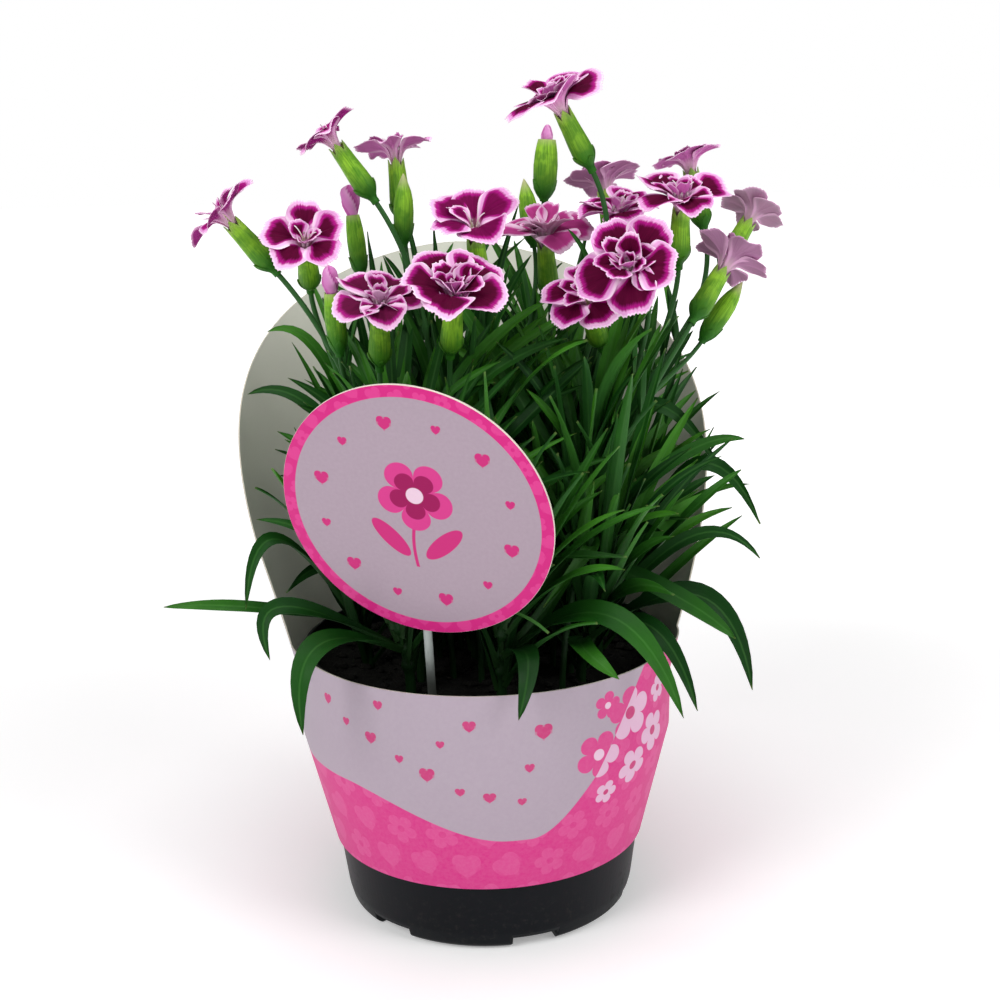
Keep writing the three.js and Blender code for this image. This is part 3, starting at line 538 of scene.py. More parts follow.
def petal_material():
    """Where holds the distance to the petal's edge in mm, the share of its length and the share of
    its half width. Tint holds a draw for each petal, 1 on its back, and how faded it is."""
    g = Graph("petal", roughness=0.7, specular=0.06)
    edge, along, side = g.attribute("where")
    draw, back, fade = g.attribute("tint")
    fresh, aged = g.step(0, -1, fade), g.step(0, 0.6, fade)
    streak = g.noise(g.vector(side * 9, along * 2.2, draw * 40), 1.6, 4, 0.6)
    mottle = g.noise(g.position(), 0.35, 3)
    reach = edge + (streak - 0.5) * 1.5 + (mottle - 0.5) * 0.7
    pale = g.blend(draw, (226, 150, 212), (242, 188, 230))
    pale = g.blend(g.step(0.9, 0.2, edge) * 0.75, pale, (254, 232, 248))
    bright = g.blend(streak, (184, 30, 142), (148, 12, 104))
    deep = g.blend(streak, (98, 1, 52), (64, 0, 32))
    deep = g.blend(fresh * 0.9, deep, g.blend(streak, (178, 14, 128), (132, 2, 88)))
    throat = g.step(0.26, 0.12, along + (streak - 0.5) * 0.1)
    front = g.blend(g.step(1.3, 2.2, reach), pale, bright)
    front = g.blend(g.step(2.2, 3.8, reach), front, deep)
    front = g.blend(throat * 0.8, front, (222, 176, 190))
    veins = g.step(0.45, 0.75, g.noise(g.vector(side * 18, along * 1.2, draw * 40), 1, 2))
    dull = g.blend(aged, (208, 112, 186), (178, 142, 168))
    dull = g.blend(fresh, dull, (154, 34, 124))
    dull = g.blend(veins * 0.35, dull, g.blend(aged, (168, 62, 140), (146, 104, 134)))
    dull = g.blend(g.step(1.2, 0.2, edge) * 0.7, dull, (238, 186, 224))
    dull = g.blend(g.step(0.32, 0.04, along), dull, (216, 186, 196))
    colour = g.blend(back, front, dull)
    tired = g.blend(g.step(0.8, 2.6, reach) * (1 - back * 0.6), (216, 180, 204), (186, 66, 140))
    colour = g.blend(g.step(0.4, 1, fade), colour, tired)
    g.bump(g.noise(g.vector(side * 26, along * 2, draw * 40), 1, 3) + streak * 0.5, 0.12, 0.5)
    return g.finish(colour)


def thread_material():
    """The two pale threads and the anthers in the middle of a bloom. Where holds the share of a
    thread's length, and 1 on an anther."""
    g = Graph("thread", roughness=0.5)
    height, _, is_anther = g.attribute("where")
    anther = g.blend(g.noise(g.position(), 2), (150, 120, 140), (205, 190, 190))
    colour = g.blend(g.step(0.2, 0.9, height), (206, 214, 160), (246, 236, 240))
    colour = g.blend(is_anther, colour, anther)
    g.bump(g.noise(g.position(), 4), 0.05)
    return g.finish(colour)


def green_material():
    """Where holds the place across and along in mm and the share of the length. Tint holds a draw
    for each piece, its kind (0 leaf, 0.5 stem, 1 calyx) and 1 on the underside."""
    g = Graph("green", roughness=0.44, specular=0.16)
    width, length, along = g.attribute("where")
    draw, kind, under = g.attribute("tint")
    place = g.position()
    x, y, z = g.parts(place)
    # Painted shade: leaves and stems low down and near the middle of the clump are darkened, as if shaded
    # by the leaves round them.
    painted_clump_shade = g.step(172, 88, z) * g.step(76, 50, g.distance(x, y))
    cloud = g.noise(place, 0.09, 3)
    grain = g.noise(g.vector(width * 3.2, length * 0.16, draw * 60), 1, 3, 0.6)
    leaf = g.blend(draw, (11, 58, 10), (41, 108, 25))
    leaf = g.blend(g.step(0.35, 0.75, cloud) * 0.5, leaf, (14, 54, 20))
    leaf = g.blend(g.step(0.3, 1.0, along) * g.step(0.3, 0.9, draw) * 0.8, leaf, (74, 142, 34))
    leaf = g.blend(g.step(0.975, 1.0, along) * 0.5, leaf, (150, 150, 80))
    leaf = g.blend(g.step(0.16, 0.0, along) * 0.5, leaf, (84, 124, 60))
    leaf = g.blend(g.step(0.45, 0.06, abs(width)) * 0.3, leaf, (78, 134, 62))
    leaf = g.blend(under * 0.35, leaf, (54, 102, 50))
    leaf = g.blend(g.step(0.4, 0.75, grain) * 0.35, leaf, (26, 78, 24))
    # Painted shade inside the clump turns the leaves nearly black there.
    leaf = g.blend(painted_clump_shade * 0.86, leaf, (4, 24, 5))
    stem = g.blend(grain, (34, 78, 36), (58, 106, 50))
    # The same painted shade on the stems inside the clump.
    stem = g.blend(painted_clump_shade * 0.86, stem, (7, 28, 8))
    calyx = g.blend(g.step(0.05, 0.75, along), (34, 96, 20), (146, 200, 52))
    calyx = g.blend(g.step(0.42, 0.66, grain) * 0.6, calyx, (40, 104, 22))
    calyx = g.blend(g.step(0.44, 0.6, g.noise(place, 0.22, 2)) * 0.5, calyx, (52, 116, 26))
    calyx = g.blend(g.step(0.74, 1.0, along) * 0.8, calyx, (196, 188, 150))
    colour = g.blend(g.step(0.25, 0.5, kind), leaf, stem)
    colour = g.blend(g.step(0.6, 1.0, kind), colour, calyx)
    g.bump(grain, 0.14, 0.6)
    return g.finish(colour, 0.4 + grain * 0.16)


# ------------ pot, board and card materials


def pot_material():
    """Dark plastic with faint upright streaks, dusty round its foot."""
    g = Graph("pot_plastic", specular=0.1)
    place = g.position()
    x, y, z = g.parts(place)
    cloud = g.noise(place, 0.04, 4)
    around = g.math("ARCTAN2", x, y)
    drawn = g.noise(g.vector(around * 60, z * 0.05), 1, 3)
    dust = g.step(0.5, 0.78, g.noise(place, 0.5, 6, 0.7)) * g.step(26, 0, z)
    colour = g.blend(cloud, (9, 12, 16), (15, 19, 24))
    colour = g.blend(dust * 0.35, colour, (74, 70, 64))
    g.bump(drawn * 0.6 + g.noise(place, 1.2, 3) * 0.4, 0.08, 0.5)
    return g.finish(colour, 0.34 + cloud * 0.14 + dust * 0.3)


def soil_material():
    """Dark peat with pale fibres and flecks."""
    g = Graph("peat", specular=0.25)
    place = g.position()
    crumb = g.noise(place, 0.55, 6, 0.65)
    fleck = g.step(0.68, 0.74, g.noise(place, 1.6, 2))
    x, y, z = g.parts(place)
    fibre = g.step(0.66, 0.7, g.noise(g.vector(x * 2.4, y * 0.5, z * 1.2), 1, 2))
    colour = g.blend(crumb, (4, 5, 4), (19, 17, 12))
    colour = g.blend(fibre * 0.3, colour, (48, 40, 26))
    colour = g.blend(fleck * 0.2, colour, (74, 68, 54))
    g.bump(crumb, 0.9, 0.9)
    return g.finish(colour, 0.96 - crumb * 0.1)


def heart(g, x, y, size):
    """1 inside a heart of about that width, drawn round the origin."""
    x, y = x / (size * 0.44), (y / (size * 0.44)) + 0.12
    round_part = x * x + y * y - 1
    return g.step(0.04, -0.04, round_part * round_part * round_part - x * x * y * y * y)


def blossom(g, x, y, size, turn=0.0):
    """1 inside a five-petalled flower of about that width, drawn round the origin."""
    radius = g.distance(x, y)
    lobe = abs(g.math("COSINE", (g.math("ARCTAN2", y, x) + turn) * 2.5))
    outline = (0.24 + 0.26 * lobe ** 0.45) * size
    return g.step(0.16, -0.16, radius - outline)


def disc(g, x, y, radius):
    """1 inside a disc round the origin."""
    return g.step(0.12, -0.12, g.distance(x, y) - radius)


def scattered(g, x, y, wide, high, size):
    """Hearts and blossoms, one in each cell of a brick pattern, each turned its own way. Their draws
    come again after MOTIFS_ROUND cells, so that the pattern joins at the back of the sleeve."""
    row = g.math("FLOOR", y / high)
    x = x / wide + row * 0.5
    column = g.math("FLOOR", x)
    draw = g.draw(g.math("FLOORED_MODULO", column, MOTIFS_ROUND) + 0.5, row + 0.5)
    turn = (draw - 0.5) * 1.6
    u, v = (x - column - 0.5) * wide, (y / high - row - 0.5) * high
    c, s = g.math("COSINE", turn), g.math("SINE", turn)
    u, v = u * c - v * s, u * s + v * c
    flower = g.step(0.5, 0.51, draw)
    both = heart(g, u, v, size) * (1 - flower) + blossom(g, u, v, size * 1.15) * flower
    eye = disc(g, u, v, size * 0.13) * flower
    return both * (1 - eye)


# A spray of blossoms where the band rises (place round the front and height in mm, width, turn) and
# small hearts on the pale ground (place and width).
SPRAY = [(33, 66, 15, 0.2), (45, 76, 17, 0.9), (47, 58, 12, 1.6), (57, 66, 13, 0.5), (36, 81, 9, 1.1),
         (37, 52, 8, 0.0), (60, 79, 9, 2.0)]
LOOSE_HEARTS = [(-50, 81, 3.4), (-42, 76, 2.6), (-33, 73, 3.8), (-24, 68, 2.6), (-16, 64, 4.4),
                (-7, 59, 2.8), (1, 57, 3.6), (10, 55, 2.6), (-30, 84, 3.0), (-4, 80, 3.6), (16, 77, 5.0),
                (12, 66, 2.8), (-12, 74, 2.4)]
BAND_LOWEST = 41  # height of the band's edge where it is lowest
PRINT_LILAC = (172, 157, 171)
PRINT_PINK = (212, 24, 128)
PRINT_MAGENTA = (196, 34, 112)
PRINT_ROUND = 55  # radius at which distances round the sleeve are measured
MOTIFS_ROUND = 26  # how many motifs of the band's pattern go round the sleeve


def sleeve_print():
    """A pale ground above a deep pink band whose edge sweeps down and up again round the front."""
    g = Graph("sleeve_print", roughness=0.5, specular=0.15)
    place = g.position()
    px, py, z = g.parts(place)
    x = g.math("ARCTAN2", px, -py) * PRINT_ROUND
    left = g.step(7, -45, x) * 15 + g.step(-80, -168, x) * 69
    right = g.step(13, 63, x) * 56 + g.step(70, 150, x) * 28
    band = g.step(0.12, -0.12, z - BAND_LOWEST - left - right)
    motif = scattered(g, x, z - 3, 2 * math.pi * PRINT_ROUND / MOTIFS_ROUND, 11.5, 9)
    pink = g.blend(motif * 0.16, PRINT_PINK, (238, 130, 184))
    colour = g.blend(band, PRINT_LILAC, pink)
    petals, eyes, hearts = 0, 0, 0
    for place_round, height, size, turn in SPRAY:
        petals = g.most(petals, blossom(g, x - place_round, z - height, size, turn))
        eyes = g.most(eyes, disc(g, x - place_round, z - height, size * 0.12))
    colour = g.blend(petals, colour, g.blend(band, (214, 52, 134), (222, 178, 206)))
    colour = g.blend(eyes, colour, g.blend(band, (232, 196, 218), PRINT_MAGENTA))
    for place_round, height, size in LOOSE_HEARTS:
        hearts = g.most(hearts, heart(g, x - place_round, z - height, size))
    colour = g.blend(hearts * (1 - band), colour, PRINT_MAGENTA)
    paper = g.noise(place, 0.8, 5, 0.6)
    colour = g.blend(paper * 0.12, colour, (235, 225, 232))
    g.bump(paper, 0.05, 0.3)
    return g.finish(colour, 0.44 + paper * 0.14)


def greyboard_material():
    """The unprinted side of the sleeve and card."""
    g = Graph("greyboard", roughness=0.85, specular=0.2)
    place = g.position()
    cloud = g.noise(place, 0.03, 3)
    fibre = g.noise(place, 1.1, 6, 0.7)
    colour = g.blend(cloud, (212, 214, 200), (222, 223, 210))
    colour = g.blend(g.step(0.6, 0.75, fibre) * 0.25, colour, (170, 166, 152))
    g.bump(fibre, 0.08, 0.5)
    return g.finish(colour)


def board_edge_material():
    """The cut edge of the board, with its layers."""
    g = Graph("board_edge", roughness=0.9)
    layers = g.noise(g.position(), 3, 3)
    return g.finish(g.blend(layers, (206, 198, 182), (232, 226, 212)))


CARD_FLOWER, CARD_FLOWER_HEART, CARD_FLOWER_EYE = 23, 15.5, 2.6
CARD_FLOWER_HEIGHT, CARD_FLOWER_TURN = 6, 0.31
CARD_HEARTS, CARD_HEART_RING = 12, 29


def card_print():
    """A pink border round a pale ground with a flower, its two leaves and a ring of hearts. Where
    holds the place on the card in mm."""
    g = Graph("card_print", roughness=0.48, specular=0.15)
    x, y, _ = g.attribute("where")
    radius = g.distance(x, y)
    border = g.step(-0.1, 0.1, radius - (CARD_RADIUS - CARD_BORDER))
    motif = scattered(g, x, y, 6.5, 5.6, 4.6)
    pink = g.blend(motif * 0.3, (206, 40, 126), (232, 92, 164))
    ink = 0
    for side in (-1, 1):
        leaf_x, leaf_y = x * side - 8, y + 9
        lengthwise, crosswise = (leaf_x + leaf_y) * 0.707 / 7.6, (leaf_y - leaf_x) * 0.707 / 2.7
        ink = g.most(ink, g.step(0.05, -0.05, lengthwise * lengthwise + crosswise * crosswise - 1))
    stalk = abs(x - g.math("SINE", y * 0.16) * 1.2) - 0.5
    ink = g.most(ink, g.step(0.1, -0.1, stalk) * g.step(-18, -17.8, y) * g.step(0.2, 0, y))
    for i in range(CARD_HEARTS):
        angle = rad(360 / CARD_HEARTS * (i + 0.5))
        heart_x, heart_y = CARD_HEART_RING * math.cos(angle), CARD_HEART_RING * math.sin(angle)
        ink = g.most(ink, heart(g, x - heart_x, y - heart_y, 4.4 if i % 2 else 2.8))
    up = y - CARD_FLOWER_HEIGHT
    ground = g.blend(g.noise(g.vector(x, y), 0.9, 4), (162, 144, 157), (172, 155, 168))
    colour = g.blend(ink, ground, (196, 44, 118))
    for size, shade in ((CARD_FLOWER, (206, 58, 134)), (CARD_FLOWER_HEART, (150, 14, 84))):
        colour = g.blend(blossom(g, x, up, size, CARD_FLOWER_TURN), colour, shade)
    colour = g.blend(disc(g, x, up, CARD_FLOWER_EYE), colour, (226, 196, 214))
    colour = g.blend(border, colour, pink)
    g.bump(g.noise(g.vector(x, y), 1.2, 4), 0.04, 0.3)
    return g.finish(colour)


def stick_material():
    """Pale plastic, soiled where it stands in the peat."""
    g = Graph("stick_plastic")
    place = g.position()
    cloud = g.noise(place, 0.25, 3)
    x, y, z = g.parts(place)
    soiled = g.step(104, 88, z + cloud * 6)
    colour = g.blend(cloud, (160, 168, 166), (178, 184, 181))
    colour = g.blend(soiled * 0.85, colour, (52, 54, 46))
    g.bump(g.noise(g.vector(x * 2, y * 2, z * 0.2), 1, 2), 0.05, 0.4)
    return g.finish(colour, 0.32 + cloud * 0.12)


# ------------ pot and soil


def rounded(profile, radius):
    """The profile with each corner between its ends replaced by a curve of about that radius."""
    points = [np.array(p, float) for p in profile]
    made = [points[0]]
    for before, corner, after in zip(points, points[1:], points[2:]):
        reach = min(radius, np.linalg.norm(before - corner) * 0.45, np.linalg.norm(after - corner) * 0.45)
        start, end = corner + unit(before - corner) * reach, corner + unit(after - corner) * reach
        for t in np.linspace(0, 1, 4):
            made.append(mix(mix(start, corner, t), mix(corner, end, t), t))
    return [*made, points[-1]]


def cutters():
    """One piece with the notches of the foot ring and the drain holes."""
    piece = Piece("cutters")
    for i in range(NOTCHES):
        out = flat_direction(FIRST_NOTCH + 360 / NOTCHES * i)
        side = np.cross(Z_AXIS, out)
        corners = [(-1, -1), (1, -1), (1, 1), (-1, 1)]
        foot = [out * (NOTCH_RING + NOTCH_DEPTH / 2 * a) + side * NOTCH_WIDTH / 2 * b for a, b in corners]
        piece.tube(np.array([foot, foot]) + np.reshape([-NOTCH_HEIGHT, NOTCH_HEIGHT], (2, 1, 1)) * Z_AXIS)
        piece.tube(level_rings([DRAIN_RADIUS] * 2, [-2, POT_FLOOR + 4], 24) + out * DRAIN_RING)
    return piece


def make_pot():
    """The pot with its stepped rim and recessed underside, cut out by the notches and drain holes."""
    band = POT_HEIGHT - RIM_BAND
    inner = POT_RIM - POT_WALL - 0.2
    profile = [
        (0, 0), (UNDERSIDE_DISC, 0), (UNDERSIDE_DISC + 2, UNDERSIDE_RECESS),
        (FOOT_RING - 2, UNDERSIDE_RECESS),
        (FOOT_RING, 0), (POT_FOOT, 0), (POT_BASE - 1.2, 1.6), (POT_BASE, POT_FLOOR),
        (POT_SHOULDER, band - 2), (POT_RIM - 0.2, band), (POT_RIM, POT_HEIGHT - 0.8),
        (POT_RIM - 0.8, POT_HEIGHT), (inner, POT_HEIGHT), (inner, band + 1.4),
        (POT_SHOULDER - POT_WALL, band - 0.6), (POT_BASE - POT_WALL, POT_FLOOR), (0, POT_FLOOR),
    ]
    piece = Piece("pot_shell", pot_material())
    radii, heights = np.array(rounded(profile, 0.7)[1:-1]).T
    piece.tube(level_rings(radii, heights, 180), end=Z_AXIS * POT_FLOOR, start=ORIGIN)
    pot = piece.make(["pot"], "pot", sharp=40)
    tool = cutters().make([], "pot")
    cut = pot.modifiers.new("cut", "BOOLEAN")
    cut.operation, cut.object, cut.solver = "DIFFERENCE", tool, "EXACT"
    shape = bpy.data.meshes.new_from_object(pot.evaluated_get(bpy.context.evaluated_depsgraph_get()))
    pot.modifiers.remove(cut)
    pot.data = shape
    bpy.data.objects.remove(tool)


def inside_radius(z):
    """How far the peat reaches out below the rim band, a gap short of the pot's wall."""
    band = POT_HEIGHT - RIM_BAND
    return mix(POT_BASE, POT_SHOULDER, (z - POT_FLOOR) / (band - 0.6 - POT_FLOOR)) - POT_WALL - GAP


def rough(points, scale, detail=4):
    """Noise between about -1 and 1 at each point."""
    return np.array([noise.fractal(Vector(p) * scale, 1.0, 2.0, detail) for p in points])


SOIL_RINGS, SOIL_COLUMNS = 62, 150
CRUMBS, CRUMB_SIDES = 420, 7


def make_soil():
    """Peat that fills the pot, with a crumbly top and loose crumbs on it."""
    band = POT_HEIGHT - RIM_BAND
    edge = POT_RIM - POT_WALL - 0.2 - GAP
    bottom = POT_FLOOR + GAP
    piece = Piece("peat", soil_material())
    sides = [(inside_radius(bottom), bottom), (inside_radius(band - 1), band - 0.4),
             (edge, band + 1.9), (edge, SOIL_TOP - 1.2)]
    top = [(r, SOIL_TOP) for r in np.linspace(edge - 0.4, 0.8, SOIL_RINGS)]
    rings = level_rings(*np.array(sides + top).T, SOIL_COLUMNS)
    surface = rings[len(sides):].reshape(-1, 3)
    lift = rough(surface, 0.16) * 1.1 + rough(surface + 50, 0.6, 3) * 0.7
    rings[len(sides):, :, 2] += np.clip(lift, -1.6, 2.4).reshape(len(top), -1)
    piece.tube(rings, start=(0, 0, bottom), end=(0, 0, SOIL_TOP))
    for i in range(CRUMBS):
        add_crumb(piece, i, edge)
    piece.make(["soil"], "soil", sharp=50)


def add_crumb(piece, i, edge):
    """One loose crumb of peat, a small lump with its own shape."""
    far, heading = (edge - 3) * math.sqrt(chance(i, 31)), 360 * chance(i, 32)
    size = mix(0.6, 1.9, chance(i, 33) ** 3)
    centre = flat_direction(heading) * far + Z_AXIS * (SOIL_TOP + size * 0.5)
    heights = np.array([-0.75, 0, 0.75])
    rings = level_rings(np.sqrt(1 - heights ** 2), heights, CRUMB_SIDES, turn=i)
    lumps = 1 + 0.3 * rough(rings.reshape(-1, 3) + i * 3.1, 0.9, 2).reshape(len(heights), -1, 1)
    half_height = Z_AXIS * size * 0.7
    shape = centre + rings * lumps * size * np.array([1.2, 0.9, 0.7])
    piece.tube(shape, start=centre - half_height, end=centre + half_height)


# ------------ sleeve, card and stick


def sleeve_edge(from_back):
    """Height of the sleeve's top edge at an angle from the back, which grows clockwise from above."""
    u = np.minimum(1, np.abs(from_back - HEADER_MIDDLE) / HEADER_HALF)
    return SLEEVE_FRONT + (SLEEVE_CREST - SLEEVE_FRONT) * (1 - u ** HEADER_ROUNDNESS) ** HEADER_SHOULDER


def sleeve_radius(z, from_back):
    """Inside radius of the sleeve: a cone, upright round the pot's rim, whose raised back leans out."""
    flare = BACK_FLARE * (1 - smooth((np.abs(from_back) - 90) / 35))
    cone = SLEEVE_RADIUS + SLEEVE_TAPER * (np.minimum(z, SLEEVE_BEND) - SLEEVE_BOTTOM)
    return cone + 0.02 * np.maximum(0, z - SLEEVE_BEND) + flare * np.maximum(0, z - BACK_FROM)


SLEEVE_COLUMNS = 240


def make_sleeve():
    """The board round the pot: its columns are closest together at the two corners of the back."""
    half = SLEEVE_COLUMNS // 2
    back = HEADER_MIDDLE + HEADER_HALF * np.sin(np.linspace(-np.pi / 2, np.pi / 2, half + 1))[:-1]
    left, right = HEADER_MIDDLE + HEADER_HALF, HEADER_MIDDLE + 360 - HEADER_HALF
    front = np.linspace(left, right, half, endpoint=False)
    column = np.concatenate([back, front])[::-1]
    from_back = np.where(column > 180, column - 360, column)
    levels = (*np.linspace(SLEEVE_BOTTOM, SLEEVE_BEND, 9), 66, 72, BACK_FROM)
    lower = [np.full_like(column, level) for level in levels]
    upper = [mix(BACK_FROM, sleeve_edge(from_back), t) for t in np.linspace(0, 1, 21)[1:]]
    z = np.array(lower + upper)
    directions = np.stack([np.sin(rad(column)), np.cos(rad(column)), np.zeros_like(column)], -1)
    rows, columns = z.shape

    def wall(out):
        radius = sleeve_radius(z, from_back) + out
        return directions * radius[:, :, None] + z[:, :, None] * Z_AXIS

    piece = Piece("sleeve_board", sleeve_print(), greyboard_material(), board_edge_material())
    outside = piece.wrap(wall(SLEEVE_WALL))
    inside = piece.wrap(wall(0), slot=1, inward=True)
    j = np.arange(columns)
    after = (j + 1) % columns
    piece.join(np.stack([outside + after, outside + j, inside + j, inside + after], 1), 2)
    outer_top, inner_top = outside + (rows - 1) * columns, inside + (rows - 1) * columns
    piece.join(np.stack([outer_top + j, outer_top + after, inner_top + after, inner_top + j], 1), 2)
    piece.make(["sleeve"], "sleeve", sharp=40)


def turn_matrix(axis, degrees):
    """The turn about a main axis that moves points written as columns."""
    return np.array(Matrix.Rotation(rad(degrees), 3, axis))


def placed_as_card(points):
    """Moves points from the card's own plane (X right, Z up, -Y out of its face) to their place."""
    turn = turn_matrix("Z", CARD_TURN) @ turn_matrix("X", CARD_TIP) @ turn_matrix("Y", CARD_ROLL)
    return np.asarray(points, float) @ turn.T + np.array(CARD_PLACE)


def make_card():
    """A thin board disc, printed on its face."""
    piece = Piece("card_board", card_print(), greyboard_material(), board_edge_material())
    turn = round_turn(200)
    circle = np.stack([np.cos(turn), 0 * turn, np.sin(turn)], -1)
    half, bevel = CARD_THICKNESS / 2, 0.08
    front = [circle * r - Y_AXIS * half for r in (0.01, 20, CARD_RADIUS - bevel)]
    back = [circle * r + Y_AXIS * half for r in (CARD_RADIUS - bevel, 20, 0.01)]
    rim = [circle * CARD_RADIUS - Y_AXIS * (half - bevel), circle * CARD_RADIUS + Y_AXIS * (half - bevel)]
    for rings, slot in ((front, 0), ([front[-1], *rim, back[0]], 2), (back, 1)):
        rings = np.array(rings)
        piece.wrap(placed_as_card(rings), where=rings[:, :, [0, 2, 1]], slot=slot)
    card = piece.make(["card"], "card", sharp=30)
    weld = card.modifiers.new("weld", "WELD")
    weld.merge_threshold = 0.02 * MM


def make_stick():
    """The rod behind the card, with small bevels at its ends."""
    piece = Piece("stick_rod", stick_material())
    behind = CARD_THICKNESS / 2 + GAP + STICK_RADIUS
    bevel = 0.5
    shaft = np.linspace(5 - STICK_BELOW, STICK_ABOVE - 5, 25)
    heights = [-STICK_BELOW, bevel - STICK_BELOW, *shaft, STICK_ABOVE - bevel, STICK_ABOVE]
    radii = np.full(len(heights), STICK_RADIUS)
    radii[[0, -1]] = STICK_RADIUS * 0.6
    piece.tube(placed_as_card(level_rings(radii, heights, 24) + Y_AXIS * behind))
    piece.make(["card_stick"], "stick", sharp=50)


# ------------ keeping the leaves clear


NEARBY = 30  # no taken place and leaf together reach further than this
STEM_ROOM, BRANCH_ROOM, SHOOT_ROOM, CALYX_ROOM, STICK_ROOM = 1.5, 1.4, 2, 3.9, 1.6  # radii kept clear
CARD_ROOM, FILLER_CARD_ROOM = 3, 7  # how far leaves and fillers keep from the points of the card
SOIL_ROOM, WALL_ROOM, EDGE_ROOM = 3, 2, 3  # how far leaves keep from the peat, the sleeve and its edge


class Taken:
    """Places that later leaves keep away from, each with its own radius and owner."""

    def __init__(self):
        self.points, self.radius, self.owner = np.zeros((0, 3)), np.zeros(0), np.zeros(0, object)

    def add(self, points, radius, owner):
        points = np.reshape(points, (-1, 3))
        self.points = np.concatenate([self.points, points])
        self.radius = np.concatenate([self.radius, np.full(len(points), radius)])
        self.owner = np.concatenate([self.owner, np.full(len(points), owner, object)])

    def meets(self, line, room, owner):
        """Whether a line passes within room of a place. Close to its own root it may meet its owner's."""
        low, high = line.min(0) - NEARBY, line.max(0) + NEARBY
        near = np.all((self.points > low) & (self.points < high), axis=1)
        gaps = ((line[:, None] - self.points[near]) ** 2).sum(-1)
        close = gaps <= (self.radius[near] + room) ** 2
        rooted = np.linalg.norm(line - line[0], axis=1) <= ROOT_ROOM
        return (close & ~(rooted[:, None] & (self.owner[near] == owner))).any()


taken = Taken()


def take_card(room):
    """Keeps later leaves off the card."""
    steps = range(-40, 41, 5)
    grid = [(x, 0, z) for x in steps for z in steps if math.hypot(x, z) <= CARD_RADIUS + 1.5]
    taken.add(placed_as_card(grid), room, "card")


def take_stick():
    """Keeps later leaves off the stick."""
    rod = [(0, 2, z) for z in range(-STICK_BELOW, STICK_ABOVE + 1, 3)]
    taken.add(placed_as_card(rod), STICK_ROOM, "stick")


def is_clear(line, owner, room):
    """Whether a midline stays clear of the soil, the sleeve and everything taken so far."""
    x, y, z = line[1:].T
    r = np.hypot(x, y)
    from_back = np.degrees(np.arctan2(x, y))
    wall, edge = sleeve_radius(z, from_back), sleeve_edge(from_back)
    buried = (r < POT_RIM + 2.4) & (z < SOIL_TOP + SOIL_ROOM) | (z < 4)
    through = (z < edge + room + EDGE_ROOM) & (np.abs(r - wall) < room + WALL_ROOM)
    behind = (z < edge) & (r > wall) & (np.abs(from_back) < HEADER_HALF)
    return not (buried | through | behind).any() and not taken.meets(line, room, owner)


# ------------ leaves


def leaf_line(leaf, steps):
    """The midline of a leaf: through the points given for it, or drooping more and more."""
    root = leaf["root"] + flat_direction(leaf["heading"]) * leaf["stand"]
    if "tip" in leaf:
        tip = np.array(leaf["tip"], float)
        bend = 2 * np.array(leaf["over"], float) - (root + tip) / 2
        return Curve(root, bend, tip).points(steps)
    s = (np.arange(steps) + 0.5) / steps
    climb = rad(leaf["climb"] - leaf["droop"] * s ** 1.5)
    flat = flat_direction(leaf["heading"] + leaf["swing"] * s) * np.cos(climb)[:, None]
    moves = (flat + Z_AXIS * np.sin(climb)[:, None]) * leaf["length"] / steps
    return np.concatenate([[root], root + np.cumsum(moves, 0)])


def is_in_clump(line):
    """Whether a line stays inside the clump, whose right side is narrower higher up."""
    x, y, z = line.T
    right = CLUMP_RIGHT - CLUMP_SLOPE * np.maximum(0, z - CLUMP_NARROWER)
    return ((x > CLUMP_LEFT) & (x < right) & (np.hypot(x, y) < CLUMP_REACH)).all()


def is_filler_place(line):
    """Whether a line stays well inside the clump, and below the blooms, which reach lower in front
    and on the left."""
    x, y, z = line.T
    roof = FILLER_TOP + FILLER_SLOPE * (y - ROOF_FRONT - np.maximum(0, ROOF_LEFT - x))
    return is_in_clump(line) and ((x > FILLER_LEFT) & (z < roof)).all()


def fit_leaf(leaf, owner, is_wanted=is_in_clump, room=LEAF_ROOM, tries=LEAF_TRIES):
    """Tries a leaf as it is, then swung and shortened a little more each time."""
    for k in range(tries):
        swing = (1 if k % 2 else -1) * math.ceil(k / 2) * 8
        tried = {**leaf, "heading": leaf["heading"] + swing, "length": leaf["length"] * 0.98 ** k}
        if "over" in leaf:
            tried["over"] = (*leaf["over"][:2], leaf["over"][2] + k)
        else:
            tried["climb"] = min(84, leaf["climb"] + k % 3 * 6)
        line = leaf_line(tried, math.ceil(tried["length"] / 4))
        if ("tip" in leaf or is_wanted(line)) and is_clear(line, owner, room * leaf["width"]):
            taken.add(line, abs(room) * leaf["width"], owner)
            return tried
    return None


LEAF_ROWS, LEAF_COLUMNS = 18, 7
FILLERS = (32, 60)  # further leaves tried for an outer and for an inner shoot
FILLER_ROOM = -0.12  # they may come closer to others than the first leaves do, in widths
FILLER_TRIES = 9
FILLER_LEFT = -62  # the fillers stay to the right of this
FILLER_TOP, ROOF_FRONT, ROOF_LEFT, FILLER_SLOPE = 200, -30, -20, 0.5  # and below this sloping roof


